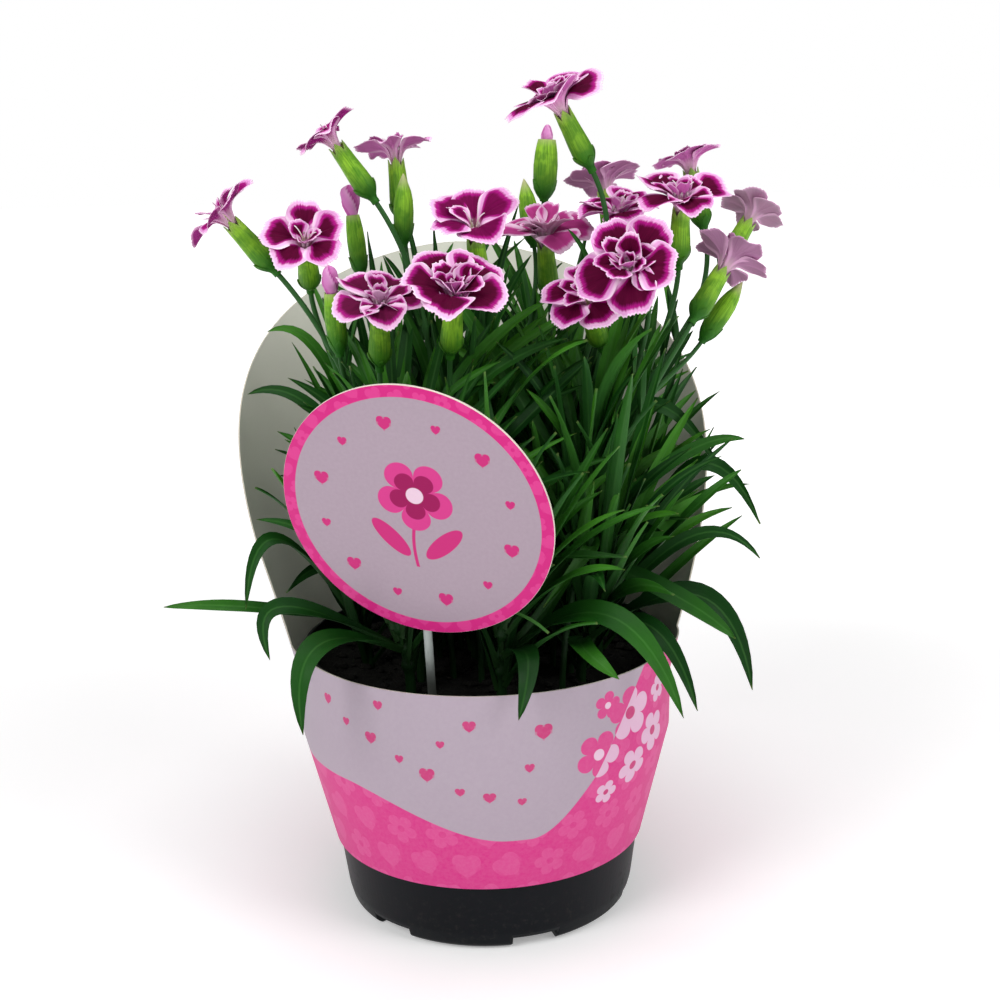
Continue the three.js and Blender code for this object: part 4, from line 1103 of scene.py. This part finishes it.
def add_blade(piece, leaf, draw):
    """A narrow channelled blade with a keel below, tapering to a fine tip."""
    line = leaf_line(leaf, LEAF_ROWS)
    s = np.linspace(0, 1, LEAF_ROWS + 1)
    along = unit(np.gradient(line, axis=0))
    side = flat_direction(leaf["heading"] + leaf["swing"] * s + 90)
    side = turned_about(side, along, leaf["twist"] * s)
    side = unit(side - (side * along).sum(-1, keepdims=True) * along)
    up = np.cross(along, side)
    half = leaf["width"] / 2 * (0.34 + 0.66 * smooth(s / 0.32)) * (1 - s ** 3.4) ** 0.8 + 0.06
    u = np.linspace(-1, 1, LEAF_COLUMNS)
    fold = (0.14 * leaf["width"] + 0.2) * (1 - 0.55 * s)
    wave = 0.035 * leaf["width"] * np.sin(2 * np.pi * (s * 2.6 + draw * 5))
    top = -fold[:, None] * (1 - np.abs(u) ** 1.25) + wave[:, None] * u * s[:, None]
    thin = 0.16 + 0.26 * (1 - u ** 2) + 0.24 * np.exp(-((u / 0.2) ** 2))
    bottom = top - thin * (1 - 0.5 * s)[:, None]
    flat = line[:, None] + side[:, None] * (half[:, None] * u)[:, :, None]
    upper = flat + up[:, None] * top[:, :, None]
    lower = flat + up[:, None] * bottom[:, :, None]
    length = np.linalg.norm(np.diff(line, axis=0), axis=1).sum()
    shares = np.repeat(s[:, None], LEAF_COLUMNS, 1)
    where = np.stack([half[:, None] * u, shares * length, shares], -1)
    piece.sheet(upper, lower, where, (draw, 0, 0), (draw, 0, 1))


# ------------ stems, calyces and buds


def head_axis(head):
    """The direction in which a bloom or bud faces."""
    return leaning(head["lean"], head["toward"])


def throat(head):
    """Where a bloom's petals spread from. On a bud, the point as high above its base."""
    return np.array([head["x"], head["y"], head["z"]], float)


def calyx_base(head):
    """The point where a calyx or bud sits on its stem."""
    return throat(head) - head_axis(head) * CALYX_LENGTH


def on_soil(x, y):
    """Where a stem leaves the peat."""
    return np.array([x, y, SOIL_TOP - 0.5])


def stem_curve(head):
    """Upright from the peat, then bending until it points the way the head faces."""
    foot, end = on_soil(*head["foot"]), calyx_base(head)
    rise = end[2] - foot[2]
    return Curve(foot, foot + Z_AXIS * rise * 0.42, end - head_axis(head) * rise * 0.28, end)


def branch_curve(bud, parent):
    """Out of its parent stem along the stem's own direction, then the way the bud faces."""
    start, end = parent.point(bud["start"]), calyx_base(bud)
    reach = np.linalg.norm(end - start)
    first = start + parent.tangent(bud["start"]) * reach * 0.35
    return Curve(start, first, end - head_axis(bud) * reach * 0.35, end)


def point_on(curve, stations, t):
    """A point on the straight line from one station of a stem to the next."""
    i = max(1, next(k for k, station in enumerate(stations) if station >= t))
    before, after = stations[i - 1], stations[i]
    return mix(curve.point(before), curve.point(after), (t - before) / (after - before))


STEM_STEPS, STEM_SIDES = 43, 10
JOINT_SWELLING, JOINT_HALF = 0.42, 1.6  # as a share of the stem's radius, and in mm


def add_stem(piece, curve, radius, joints, draw, foot=True, kind=0.5):
    """A round stem along a curve, a little swollen at its joints."""
    t = np.linspace(0, 1, STEM_STEPS + 1)
    points, axes = curve.at(t), curve.tangents(t)
    length = np.linalg.norm(np.diff(points, axis=0), axis=1).sum()
    radii = radius * (0.88 - 0.16 * t)
    for joint in joints:
        radii += radius * JOINT_SWELLING * np.exp(-(((t - joint) * length / JOINT_HALF) ** 2))
    if foot:
        points = np.concatenate([[points[0] - Z_AXIS * FOOT_DEPTH], points])
        axes = np.concatenate([axes[:1], axes])
        radii, t = np.concatenate([radii[:1], radii]), np.concatenate([[0], t])
    directions = ring_directions(axes, across(axes[0])[0], STEM_SIDES)
    rings = points[:, None] + directions * radii[:, None, None]
    around = np.linspace(0, 2 * np.pi * radius, STEM_SIDES)
    shares = np.repeat(t[:, None], STEM_SIDES, 1)
    where = np.stack([np.broadcast_to(around, shares.shape), shares * length, shares], -1)
    piece.tube(rings, where, (draw, kind, 0))


def add_turned(piece, head, profile, draw, right, pull=None):
    """A ribbed shape turned round a flower head's axis, from (height, radius) points above the base
    of its calyx. Pull says how much higher each point lies."""
    axis, base = head_axis(head), calyx_base(head)
    heights, radii = np.array(profile, float).T
    turn = round_turn(CALYX_SIDES)
    ridge = 1 + RIB_HEIGHT * np.cos(turn * CALYX_TEETH * 3)
    rings = turned_rings(base, axis, right, heights, radii[:, None] * ridge)
    if pull is not None:
        rings = rings + axis * pull[:, :, None]
    shares = np.repeat(heights[:, None] / CALYX_LENGTH, CALYX_SIDES, 1)
    around = turn * CALYX_RADIUS
    where = np.stack([np.broadcast_to(around, shares.shape), shares * CALYX_LENGTH, shares], -1)
    piece.tube(rings, where, (draw, 1, 0))


def calyx_radius(h):
    """The calyx swells quickly above its base and narrows slowly to its rim."""
    swelling = smooth((h + 0.8) / 6.5) ** 0.8
    widest = mix(CALYX_RADIUS, CALYX_RIM, smooth((h - 6) / 12))
    return max(0.95, 0.94 * swelling * widest)


def add_calyx(piece, head, right, draw):
    """A ribbed tube with five pointed teeth, hollow at the top."""
    turn = round_turn(CALYX_SIDES)
    nearest = np.abs((turn * CALYX_TEETH / np.pi + 1) % 2 - 1)
    tooth = CALYX_TOOTH * (1 - nearest) ** 0.8
    rim = CALYX_LENGTH - 4
    outside = [(h, calyx_radius(h)) for h in (-0.4, 0.3, 1, 2, 3, 4.5, 6.5, 9, 12, 15, 17)]
    mouth = [(rim, CALYX_RIM - 0.3), (rim + 0.1, CALYX_RIM - 0.3), (rim, CALYX_RIM - 0.6)]
    inside = [(rim - 0.8, CALYX_MOUTH + 0.1), (rim - 3, CALYX_MOUTH - 0.4), (rim - 7, 0.5)]
    profile = outside + mouth + inside
    pull = np.zeros((len(profile), CALYX_SIDES))
    for row, share in zip(range(len(outside) - 1, len(profile)), (0.2, 0.55, 1, 0.96, 0.5)):
        pull[row] = tooth * share
    add_turned(piece, head, profile, draw, right, pull)
    add_bracts(piece, head, right, draw, calyx_radius)


def add_bracts(piece, head, right, draw, radius_at):
    """Two pairs of pointed scales that hug the foot of the calyx."""
    axis, base = head_axis(head), calyx_base(head)
    u = unit(right - right @ axis * axis)
    v = np.cross(axis, u)
    a = np.linspace(0, 1, 10)[:, None]
    b = np.linspace(-1, 1, 9)[None]
    for i in range(4):
        long = 7.2 if i % 2 else 5.8
        height = -0.7 + long * a
        half_width = rad(56) * (1 - a ** 1.6) ** 0.8 + 0.03
        turn = rad(90 * i + 20) + half_width * b
        lift = 0.14 + 0.1 * (i % 2) + 0.3 * a ** 3 - 0.1 * np.abs(b) ** 2
        radius = np.array([[max(1.1, radius_at(h))] for h in height[:, 0]]) + lift
        out = np.cos(turn)[:, :, None] * u + np.sin(turn)[:, :, None] * v
        outer = base + axis * height[:, :, None] + out * radius[:, :, None]
        inner = outer - out * 0.24
        shares = (height + 0 * b) / CALYX_LENGTH
        where = np.stack([turn * radius, shares * CALYX_LENGTH, shares], -1)
        tint = (draw, 0.92, 0)
        piece.sheet(outer[:, ::-1], inner[:, ::-1], where[:, ::-1], tint, tint)


# Height and radius up the outside of a closed bud, and of an opening one, which is hollow at the top.
CLOSED_BUD = [(-0.4, 0.9), (0.4, 1.3), (1.5, 2), (3, 2.65), (6.5, 3.1), (10, 3.2), (13.5, 3),
              (16.5, 2.4), (19.2, 1.4), (21.2, 0.5), (21.9, 0.12)]
OPENING_BUD = [(-0.4, 0.9), (0.4, 1.5), (1.5, 2.3), (3.3, 3.15), (7, 3.7), (11, 3.8), (15, 3.5),
               (17.6, 3.1), (BUD_RIM, 2.75), (BUD_RIM - 0.2, 2.4), (BUD_RIM - 1.2, 2.1),
               (14.5, 1.5), (11.6, 0.4)]


def add_bud(piece, head, right, draw):
    """A closed green bud, or the green part of one that is opening."""
    shape, girth = (CLOSED_BUD, 1) if head["bud"] == "green" else (OPENING_BUD, head["girth"])
    shape = [(h, r if r < 1 else r * girth) for h, r in shape]
    add_turned(piece, head, shape, draw, right)
    side = np.array(shape[:8]).T
    add_bracts(piece, head, right, draw, lambda h: np.interp(h, *side))


def add_head(piece, head, right, draw):
    """The green part of a flower head: a calyx under a bloom, or a bud."""
    if "bud" in head:
        add_bud(piece, head, right, draw)
    else:
        add_calyx(piece, head, right, draw)


def make_bud_tip(head, petal):
    """The furled petals at the top of an opening bud, with spiral seams."""
    piece = Piece("furled_petals_" + head["name"], petal)
    axis, base = head_axis(head), calyx_base(head)
    tip = head["tip"]
    stations = (BUD_RIM - 6.9, BUD_RIM - 3.3, BUD_RIM, *(BUD_RIM + h * tip for h in (3.0, 6.4, 7.8, 8.6)))
    top = (2.9, 2.3) if head.get("flared") else (2.4, 1.7)
    girths = (0.3, 1.15, 1.95 * head["girth"] ** 0.5, 1.1 + 1.6 * tip, top[0] * tip, top[1] * tip, 0.4)
    heights = np.linspace(stations[0], stations[-1], 30)
    radii = np.interp(heights, stations, girths)
    sides = 36
    turn = round_turn(sides)
    seam = ((turn[None] + heights[:, None] * 0.16) * 3 / (2 * np.pi)) % 1
    radius = radii[:, None] * (0.9 + 0.16 * seam)
    rings = turned_rings(base, axis, across(axis)[0], heights, radius)
    edge = 0.5 + (1 - seam) * 1.6
    where = np.stack([edge, 0.4 + 0.5 * seam, seam * 2 - 1], -1)
    piece.tube(rings, where, (chance(int(head["name"]), 9), 0.6, -0.4))
    piece.make(["bud_tip_" + head["name"]], "petal", sharp=70)


# ------------ blooms


def petals_of(head):
    """The sizes and place of each petal of a bloom, row by row."""
    axis, middle = head_axis(head), throat(head)
    u, v = across(axis)
    seed = int(head["name"])
    half = head["width"] / 2
    for number, row in enumerate(PETAL_ROWS):
        count = row["count"] if number == 0 else round(row["count"] * head["full"])
        for i in range(count):
            n = seed * 100 + number * 10 + i
            angle = rad((i + number * 0.45) / count * 360 + seed * 47 + spread(n, 1, 9 + 8 * number))
            yield dict(
                row=row, n=n, axis=axis, middle=middle,
                out=u * math.cos(angle) + v * math.sin(angle),
                side=v * math.cos(angle) - u * math.sin(angle),
                rise=mix(row["cupped"], row["flat"], head["open"]) + spread(n, 2, 7 * row["loose"]),
                length=half * row["long"] * (1 + spread(n, 3, 0.05 * row["loose"])),
                width=half * row["wide"] * head.get("slim", 1) * (1 + spread(n, 4, 0.16)),
                curl=row["curl"] + CUPPED_CURL * (1 - head["open"]) + spread(n, 5, 6),
                roll=9 + spread(n, 6, 5 * row["loose"]),
                fold=row["fold"] * mix(0.3, 1.7, chance(n, 8)), inner=number > 0,
            )


CLAW = 0.3  # share of a petal that dips down into the calyx
CLAW_DEPTH = 7
PETAL_STEPS = 12
TEETH_DEPTH = 0.55
BROAD_TIP = 0.45  # share of a petal's length that is its rounded tip
SIDE_EDGE = 1.3  # how much narrower the pale edge is along a petal's sides than at its tip


def petal_points(petal, t, s, lift):
    """Points of a petal at shares t of its length and s of its width, lifted off its surface."""
    length, width = petal["length"], petal["width"]
    along = t * length
    slope = rad(petal["rise"] - petal["curl"] * (t - 0.35))
    hollow = petal["fold"] * length * s * s
    tilt = math.sin(rad(petal["roll"])) * s * width * t
    dip = CLAW_DEPTH * (1 - np.minimum(1, t / CLAW)) ** 2.2
    height = along * np.sin(slope) + (hollow + tilt + lift) * np.cos(slope) + 1 - dip
    reach = 0.6 + along * np.cos(slope) - (hollow + lift) * np.sin(slope)
    return (petal["middle"] + petal["axis"] * height[..., None] + petal["out"] * reach[..., None]
            + petal["side"] * (s * width)[..., None])


def add_petal(piece, petal, fade):
    """A petal with a narrow claw, a broad fan of a blade and a finely toothed margin."""
    row, n, length = petal["row"], petal["n"], petal["length"]
    a = (1 - (1 - np.linspace(0, 1, PETAL_STEPS + 1)) ** 1.25)[:, None]
    b = np.linspace(-1, 1, row["columns"])[None]
    place = (b + 1) / 2 * row["teeth"]
    tooth = 1 - 2 * np.abs(place % 1 - 0.5)
    size = np.array([0.4 + chance(n, 30 + int(k)) for k in place[0]])[None]
    teeth = -TEETH_DEPTH * tooth * size / length
    tip = 1 - BROAD_TIP * (1 - (1 - np.abs(b) ** 2.4) ** 0.55)
    margin = tip + 0.02 * np.cos(2.4 * np.pi * b + 6 * chance(n, 9))
    t = a * margin + a ** 6 * teeth
    wide = 0.12 + 0.88 * smooth(a / 0.95) ** 1.25
    s = 0.5 * b * wide
    waves = np.sin(b * (2.6 + 2.4 * chance(n, 10)) + 6.3 * chance(n, 11))
    ruffle = a ** 2 * waves * 0.06 * length
    crease = -0.035 * length * np.exp(-((b / 0.16) ** 2)) * smooth(a * 1.6)
    tip_curl = (0.09 * chance(n, 12) - 0.05) * length * a ** 4
    thick = mix(0.3, 0.15, a)
    lift = ruffle + crease + tip_curl
    upper = petal_points(petal, t, s, lift + thick / 2)
    lower = petal_points(petal, t, s, lift - thick / 2)
    to_tip = (1 - a) * margin * length
    to_side = (1 - np.abs(b)) * wide * petal["width"] * SIDE_EDGE
    edge = np.minimum(to_tip, to_side) * (1.7 if petal["inner"] else 1)
    where = np.stack([edge, a + 0 * b, b + 0 * a], -1)
    draw = chance(n, 7)
    piece.sheet(upper, lower, where, (draw, 0, fade), (draw, 1, fade))


THREADS, LONG_THREADS = 7, (0, 3)
THREAD_STEPS, THREAD_SIDES = 11, 6


def add_threads(piece, head, slot):
    """The two curled threads and the five anthers in the middle of a bloom."""
    axis, middle = head_axis(head), throat(head)
    u, v = across(axis)
    seed = int(head["name"])
    for i in range(THREADS):
        n = seed * 50 + i
        turn = 360 / THREADS * i + spread(n, 1, 20)
        out = u * math.cos(rad(turn)) + v * math.sin(rad(turn))
        is_long = i in LONG_THREADS
        tall, reach = (6.2, 3.6) if is_long else (2.6 + spread(n, 2, 0.8), 2.0)
        start = middle - axis * 3 + out * 0.5
        tip = middle + axis * tall + out * reach
        curve = Curve(start, middle + axis * tall * 0.8 + out * 0.4, tip)
        t = np.linspace(0, 1, THREAD_STEPS + 1)
        axes = curve.tangents(t)
        radii = mix(0.26, 0.14, t)
        directions = ring_directions(axes, across(axes[0])[0], THREAD_SIDES)
        rings = curve.at(t)[:, None] + directions * radii[:, None, None]
        where = np.repeat(t[:, None], THREAD_SIDES, 1)[:, :, None] * X_AXIS
        piece.tube(rings, where, slot=slot)
        if not is_long:
            add_anther(piece, tip, axes[-1], slot)


def add_anther(piece, centre, axis, slot):
    """A small spindle that lies across the end of its thread."""
    heights = np.array([-0.8, -0.5, 0, 0.5, 0.8])
    radii = np.repeat([[0.12], [0.38], [0.46], [0.38], [0.12]], 8, 1)
    rings = turned_rings(centre, across(axis)[1], axis, heights, radii)
    piece.tube(rings, where=(1, 0, 1), slot=slot)


def make_bloom(head, petal, thread):
    """The petals of a bloom with the threads in its middle."""
    piece = Piece("petals_" + head["name"], petal, thread)
    for each in petals_of(head):
        add_petal(piece, each, head["fade"])
    add_threads(piece, head, 1)
    piece.make(["bloom_" + head["name"]], "petal", sharp=75)


# ------------ the plant


def take_head(head, owner):
    """Keeps later leaves clear of a calyx or bud, and of its bloom."""
    axis, base = head_axis(head), calyx_base(head)
    for h in range(0, CALYX_LENGTH + 1, 3):
        taken.add(base + axis * h, CALYX_ROOM, owner)
    if "bud" not in head:
        taken.add(throat(head) + axis * 3, head["width"] / 2, owner + "_bloom")


def all_shoots():
    """The outer ring of low shoots and the taller ones inside it, each with its own curve."""
    headings = [OUTER_FIRST + 360 / OUTER_COUNT * i for i in range(OUTER_COUNT)]
    outer = [dict(OUTER_SHOOTS, heading=h, foot=flat_direction(h)[:2] * OUTER_RING) for h in headings]
    inner = [dict(INNER_SHOOTS, heading=math.degrees(math.atan2(y, x)), foot=(x, y)) for x, y in INNER_FEET]
    shoots = outer + inner
    for number, shoot in enumerate(shoots):
        shoot["number"] = number
        shoot["node"] = f"leafy_shoot_{number + 1:02d}"
        foot = on_soil(*shoot["foot"])
        top = foot + Z_AXIS * shoot["height"] + flat_direction(shoot["heading"]) * shoot["reach"]
        shoot["curve"] = Curve(foot, foot + Z_AXIS * shoot["height"] * 0.6, top)
    return shoots


def facing_twist(heading):
    """How far a leaf's tip is turned, so that a sideways leaf shows its face to the front."""
    return FACING_TWIST * math.cos(rad(heading))


def leaf_values(n, root, radius, heading, swing, twist, **shape):
    """A leaf that stands on a stem of that radius. Draw n settles how far it swings and twists."""
    return dict(
        shape, n=n, root=root, stand=radius * 0.5, heading=heading,
        swing=spread(n, 6, swing), twist=facing_twist(heading) + spread(n, 7, twist),
    )


def shoot_leaves(shoot):
    """The leaves of a shoot, in opposite pairs, each pair turned square to the one below."""
    for pair in range(shoot["pairs"]):
        high = pair / (shoot["pairs"] - 1)
        t = mix(0.3 if shoot["tier"] else 0.46, 0.98, high)
        for half in range(2):
            n = 5000 + shoot["number"] * 100 + pair * 2 + half
            heading = shoot["heading"] + 45 + 90 * pair + 180 * half + spread(n, 1, 22)
            outward = math.cos(rad(heading - shoot["heading"]))
            spreading = 0.35 if shoot["tier"] else min(1, 0.55 + 0.45 * outward) * (1 - 0.5 * high)
            root = point_on(shoot["curve"], SHOOT_STATIONS, t)
            yield leaf_values(
                n, root, SHOOT_RADIUS, heading, swing=14, twist=25,
                climb=mix(80, 46, spreading) + spread(n, 2, 6),
                droop=mix(14, 96, spreading) * mix(0.7, 1.15, chance(n, 3)),
                length=shoot["leaf"] * mix(1, 0.72, high) * mix(0.8, 1.1, chance(n, 4)),
                width=mix(5.2, 3.6, high) * mix(0.85, 1.1, chance(n, 5)),
            )


def stem_leaves(seed, curve):
    """The leaf pairs of a flower stem, which shorten towards the top."""
    for pair, t in enumerate(STEM_JOINTS):
        for half in range(2):
            n = 1000 + seed * 20 + pair * 2 + half
            heading = seed * 61 + 90 * pair + 180 * half + spread(n, 1, 15)
            yield leaf_values(
                n, point_on(curve, STEM_STATIONS, t), STEM_RADIUS, heading, swing=10, twist=25,
                climb=74 + spread(n, 2, 7), droop=mix(10, 46, chance(n, 3)),
                length=(50, 30)[pair] * mix(0.85, 1.1, chance(n, 4)), width=(3.8, 2.8)[pair],
            )


def filler_leaves(shoot):
    """Leaves that fill a shoot out, from between its pairs. More of them turn to the right."""
    for i in range(FILLERS[shoot["tier"]]):
        n = 9000 + shoot["number"] * 100 + i
        turn = 2 * chance(n, 1) - 1
        heading = 180 * turn * abs(turn) ** 0.35
        root = point_on(shoot["curve"], SHOOT_STATIONS, mix(0.04, 0.98, chance(n, 11)))
        yield leaf_values(
            n, root, SHOOT_RADIUS, heading, swing=16, twist=30,
            climb=mix(44, 84, chance(n, 2) ** 0.7), droop=mix(6, 58, chance(n, 3) ** 1.6),
            length=mix(46, 92, chance(n, 4)), width=mix(3.0, 5.6, chance(n, 5)),
        )


def add_flower_stem(piece, node, head, curve, draw, joints=()):
    """A stem with its calyx or bud, which later leaves keep clear of. Only one that has joints
    stands in the soil."""
    add_stem(piece, curve, STEM_RADIUS if joints else BRANCH_RADIUS, joints, draw, foot=bool(joints))
    add_head(piece, head, across(curve.tangent(0))[0], draw)
    taken.add(curve.points(CURVE_POINTS), STEM_ROOM if joints else BRANCH_ROOM, node)
    take_head(head, node)


def make_plant():
    """The flower stems and their side branches, then the blooms and bud tips, then the leaves."""
    green, petal, thread = green_material(), petal_material(), thread_material()
    pieces, curves = {}, {}
    take_card(CARD_ROOM)
    take_stick()
    for head in HEADS:
        name = head["name"]
        node = "stem_" + name
        curves[name] = stem_curve(head)
        pieces[node] = Piece("flower_" + node, green)
        add_flower_stem(pieces[node], node, head, curves[name], chance(int(name), 70), STEM_JOINTS)
    for i, bud in enumerate(BRANCH_BUDS):
        node = "stem_" + bud["stem"]
        curve = branch_curve(bud, curves[bud["stem"]])
        add_flower_stem(pieces[node], node, bud, curve, chance(i, 71))
    for head in HEADS:
        if "bud" not in head:
            make_bloom(head, petal, thread)
    for head in HEADS + BRANCH_BUDS:
        if head.get("bud") == "tip":
            make_bud_tip(head, petal)
    grow_leaves(pieces, curves, green)
    for node, piece in pieces.items():
        piece.make([node], "leaf" if node.startswith("leafy") else "stem", sharp=75)


def long_leaf(n, root, over, tip, width):
    """A leaf from its root on a shoot to a given tip, over a given point."""
    heading = math.degrees(math.atan2(tip[1] - root[1], tip[0] - root[0]))
    return leaf_values(
        n, root, SHOOT_RADIUS, heading, swing=0, twist=0, over=over, tip=tip, length=90, width=width,
    )


def wanted_leaves(shoots, curves):
    """Each leaf and the node it belongs to, in an order that never changes, so that each finds the
    same room every time."""
    for n, (number, over, tip, width) in enumerate(LONG_LEAVES):
        shoot = shoots[number]
        yield shoot["node"], long_leaf(n, shoot["curve"].point(0.5), over, tip, width)
    for name, curve in curves.items():
        for leaf in stem_leaves(int(name), curve):
            yield "stem_" + name, leaf
    for shoot in shoots:
        for leaf in shoot_leaves(shoot):
            yield shoot["node"], leaf


def grow_leaf(piece, node, leaf, **limits):
    """Adds a leaf to its piece if there is room for it."""
    fitted = fit_leaf(leaf, node, **limits)
    if fitted:
        add_blade(piece, fitted, chance(leaf["n"], 60))


def grow_leaves(pieces, curves, green):
    """The shoots, their leaves and those of the stems, and last the leaves that fill them out."""
    shoots = all_shoots()
    for shoot in shoots:
        node, curve = shoot["node"], shoot["curve"]
        pieces[node] = Piece(node.replace("leafy_shoot", "shoot_leaves"), green)
        draw = chance(shoot["number"], 72)
        add_stem(pieces[node], curve, SHOOT_RADIUS, (0.3, 0.5, 0.75), draw, kind=0.45)
        taken.add(curve.points(CURVE_POINTS), SHOOT_ROOM, node)
    for node, leaf in wanted_leaves(shoots, curves):
        grow_leaf(pieces[node], node, leaf)
    take_card(FILLER_CARD_ROOM)
    limits = dict(is_wanted=is_filler_place, room=FILLER_ROOM, tries=FILLER_TRIES)
    for shoot in shoots:
        for leaf in filler_leaves(shoot):
            grow_leaf(pieces[shoot["node"]], shoot["node"], leaf, **limits)


# ------------ studio

# These places and sizes are in metres.
CAMERA_PLACE = (0.006, -0.480, 0.247)
CAMERA_LENS = 55.08
CAMERA_PITCH, CAMERA_ROLL = 13.3, -1.2


def add_camera():
    """The camera in front of the plant, tipped down and rolled a little."""
    data = bpy.data.cameras.new("camera")
    data.lens, data.sensor_width = CAMERA_LENS, 36
    data.clip_start, data.clip_end = 0.01, 20
    camera = add_object("camera", data)
    pitch, roll = rad(CAMERA_PITCH), rad(CAMERA_ROLL)
    forward = np.array([0, math.cos(pitch), -math.sin(pitch)])
    upward = np.array([0, math.sin(pitch), math.cos(pitch)])
    right = X_AXIS * math.cos(roll) + upward * math.sin(roll)
    up = upward * math.cos(roll) - X_AXIS * math.sin(roll)
    matrix = Matrix(np.column_stack([right, up, -forward]).tolist()).to_4x4()
    matrix.translation = CAMERA_PLACE
    camera.matrix_world = matrix
    bpy.context.scene.camera = camera


FLOOR_HALF = 6
LIGHT_SIZE = 0.6
LIGHT_TARGET = (0, 0, 0.13)
AMBIENT = 0.18  # strength of the background as a light


def add_light(name, place, power):
    """A round softbox that faces the middle of the plant."""
    data = bpy.data.lights.new(name, "AREA")
    data.shape, data.size, data.energy = "DISK", LIGHT_SIZE, power
    light = add_object(name, data)
    light.location = place
    light.rotation_euler = (Vector(LIGHT_TARGET) - Vector(place)).to_track_quat("-Z", "Y").to_euler()


def add_floor():
    """A pale studio floor, brighter further out, where it runs into the white behind it."""
    mesh = bpy.data.meshes.new("floor")
    corners = [(-FLOOR_HALF, -FLOOR_HALF, 0), (FLOOR_HALF, -FLOOR_HALF, 0),
               (FLOOR_HALF, FLOOR_HALF, 0), (-FLOOR_HALF, FLOOR_HALF, 0)]
    mesh.from_pydata(corners, [], [(0, 1, 2, 3)])
    floor = add_object("floor", mesh)
    g = Graph("floor_paint", roughness=0.8, specular=0.1)
    place = g.position()
    x, y, _ = g.parts(place)
    g.shader.inputs["Emission Color"].default_value = (1, 1, 1, 1)
    g.feed(g.shader.inputs["Emission Strength"], 0.3 + g.step(150, 900, g.distance(x, y)) * 0.74)
    cloud = g.noise(place, 0.01, 2)
    mesh.materials.append(g.finish(g.blend(cloud, (243, 243, 243), (247, 247, 247))))


def add_world():
    """A white background that lights the plant less than it shows."""
    world = bpy.data.worlds.new("studio")
    world.use_nodes = True
    bpy.context.scene.world = world
    tree = world.node_tree
    background = tree.nodes["Background"]
    path = tree.nodes.new("ShaderNodeLightPath")
    strength = tree.nodes.new("ShaderNodeMapRange")
    tree.links.new(path.outputs["Is Camera Ray"], strength.inputs["Value"])
    strength.inputs["To Min"].default_value = AMBIENT
    strength.inputs["To Max"].default_value = 1
    tree.links.new(strength.outputs[0], background.inputs["Strength"])
    background.inputs["Color"].default_value = (1, 1, 1, 1)


def make_studio():
    """Camera, floor, background and lights."""
    add_camera()
    add_floor()
    add_world()
    add_light("left_softbox", (-0.7, -0.75, 0.85), 6.4)
    add_light("right_softbox", (0.8, -0.55, 0.75), 4.6)
    add_light("top_softbox", (0.0, -0.05, 1.1), 4.4)
    bpy.context.scene.view_settings.view_transform = "Standard"


make_studio()
make_pot()
make_soil()
make_sleeve()
make_card()
make_stick()
make_plant()
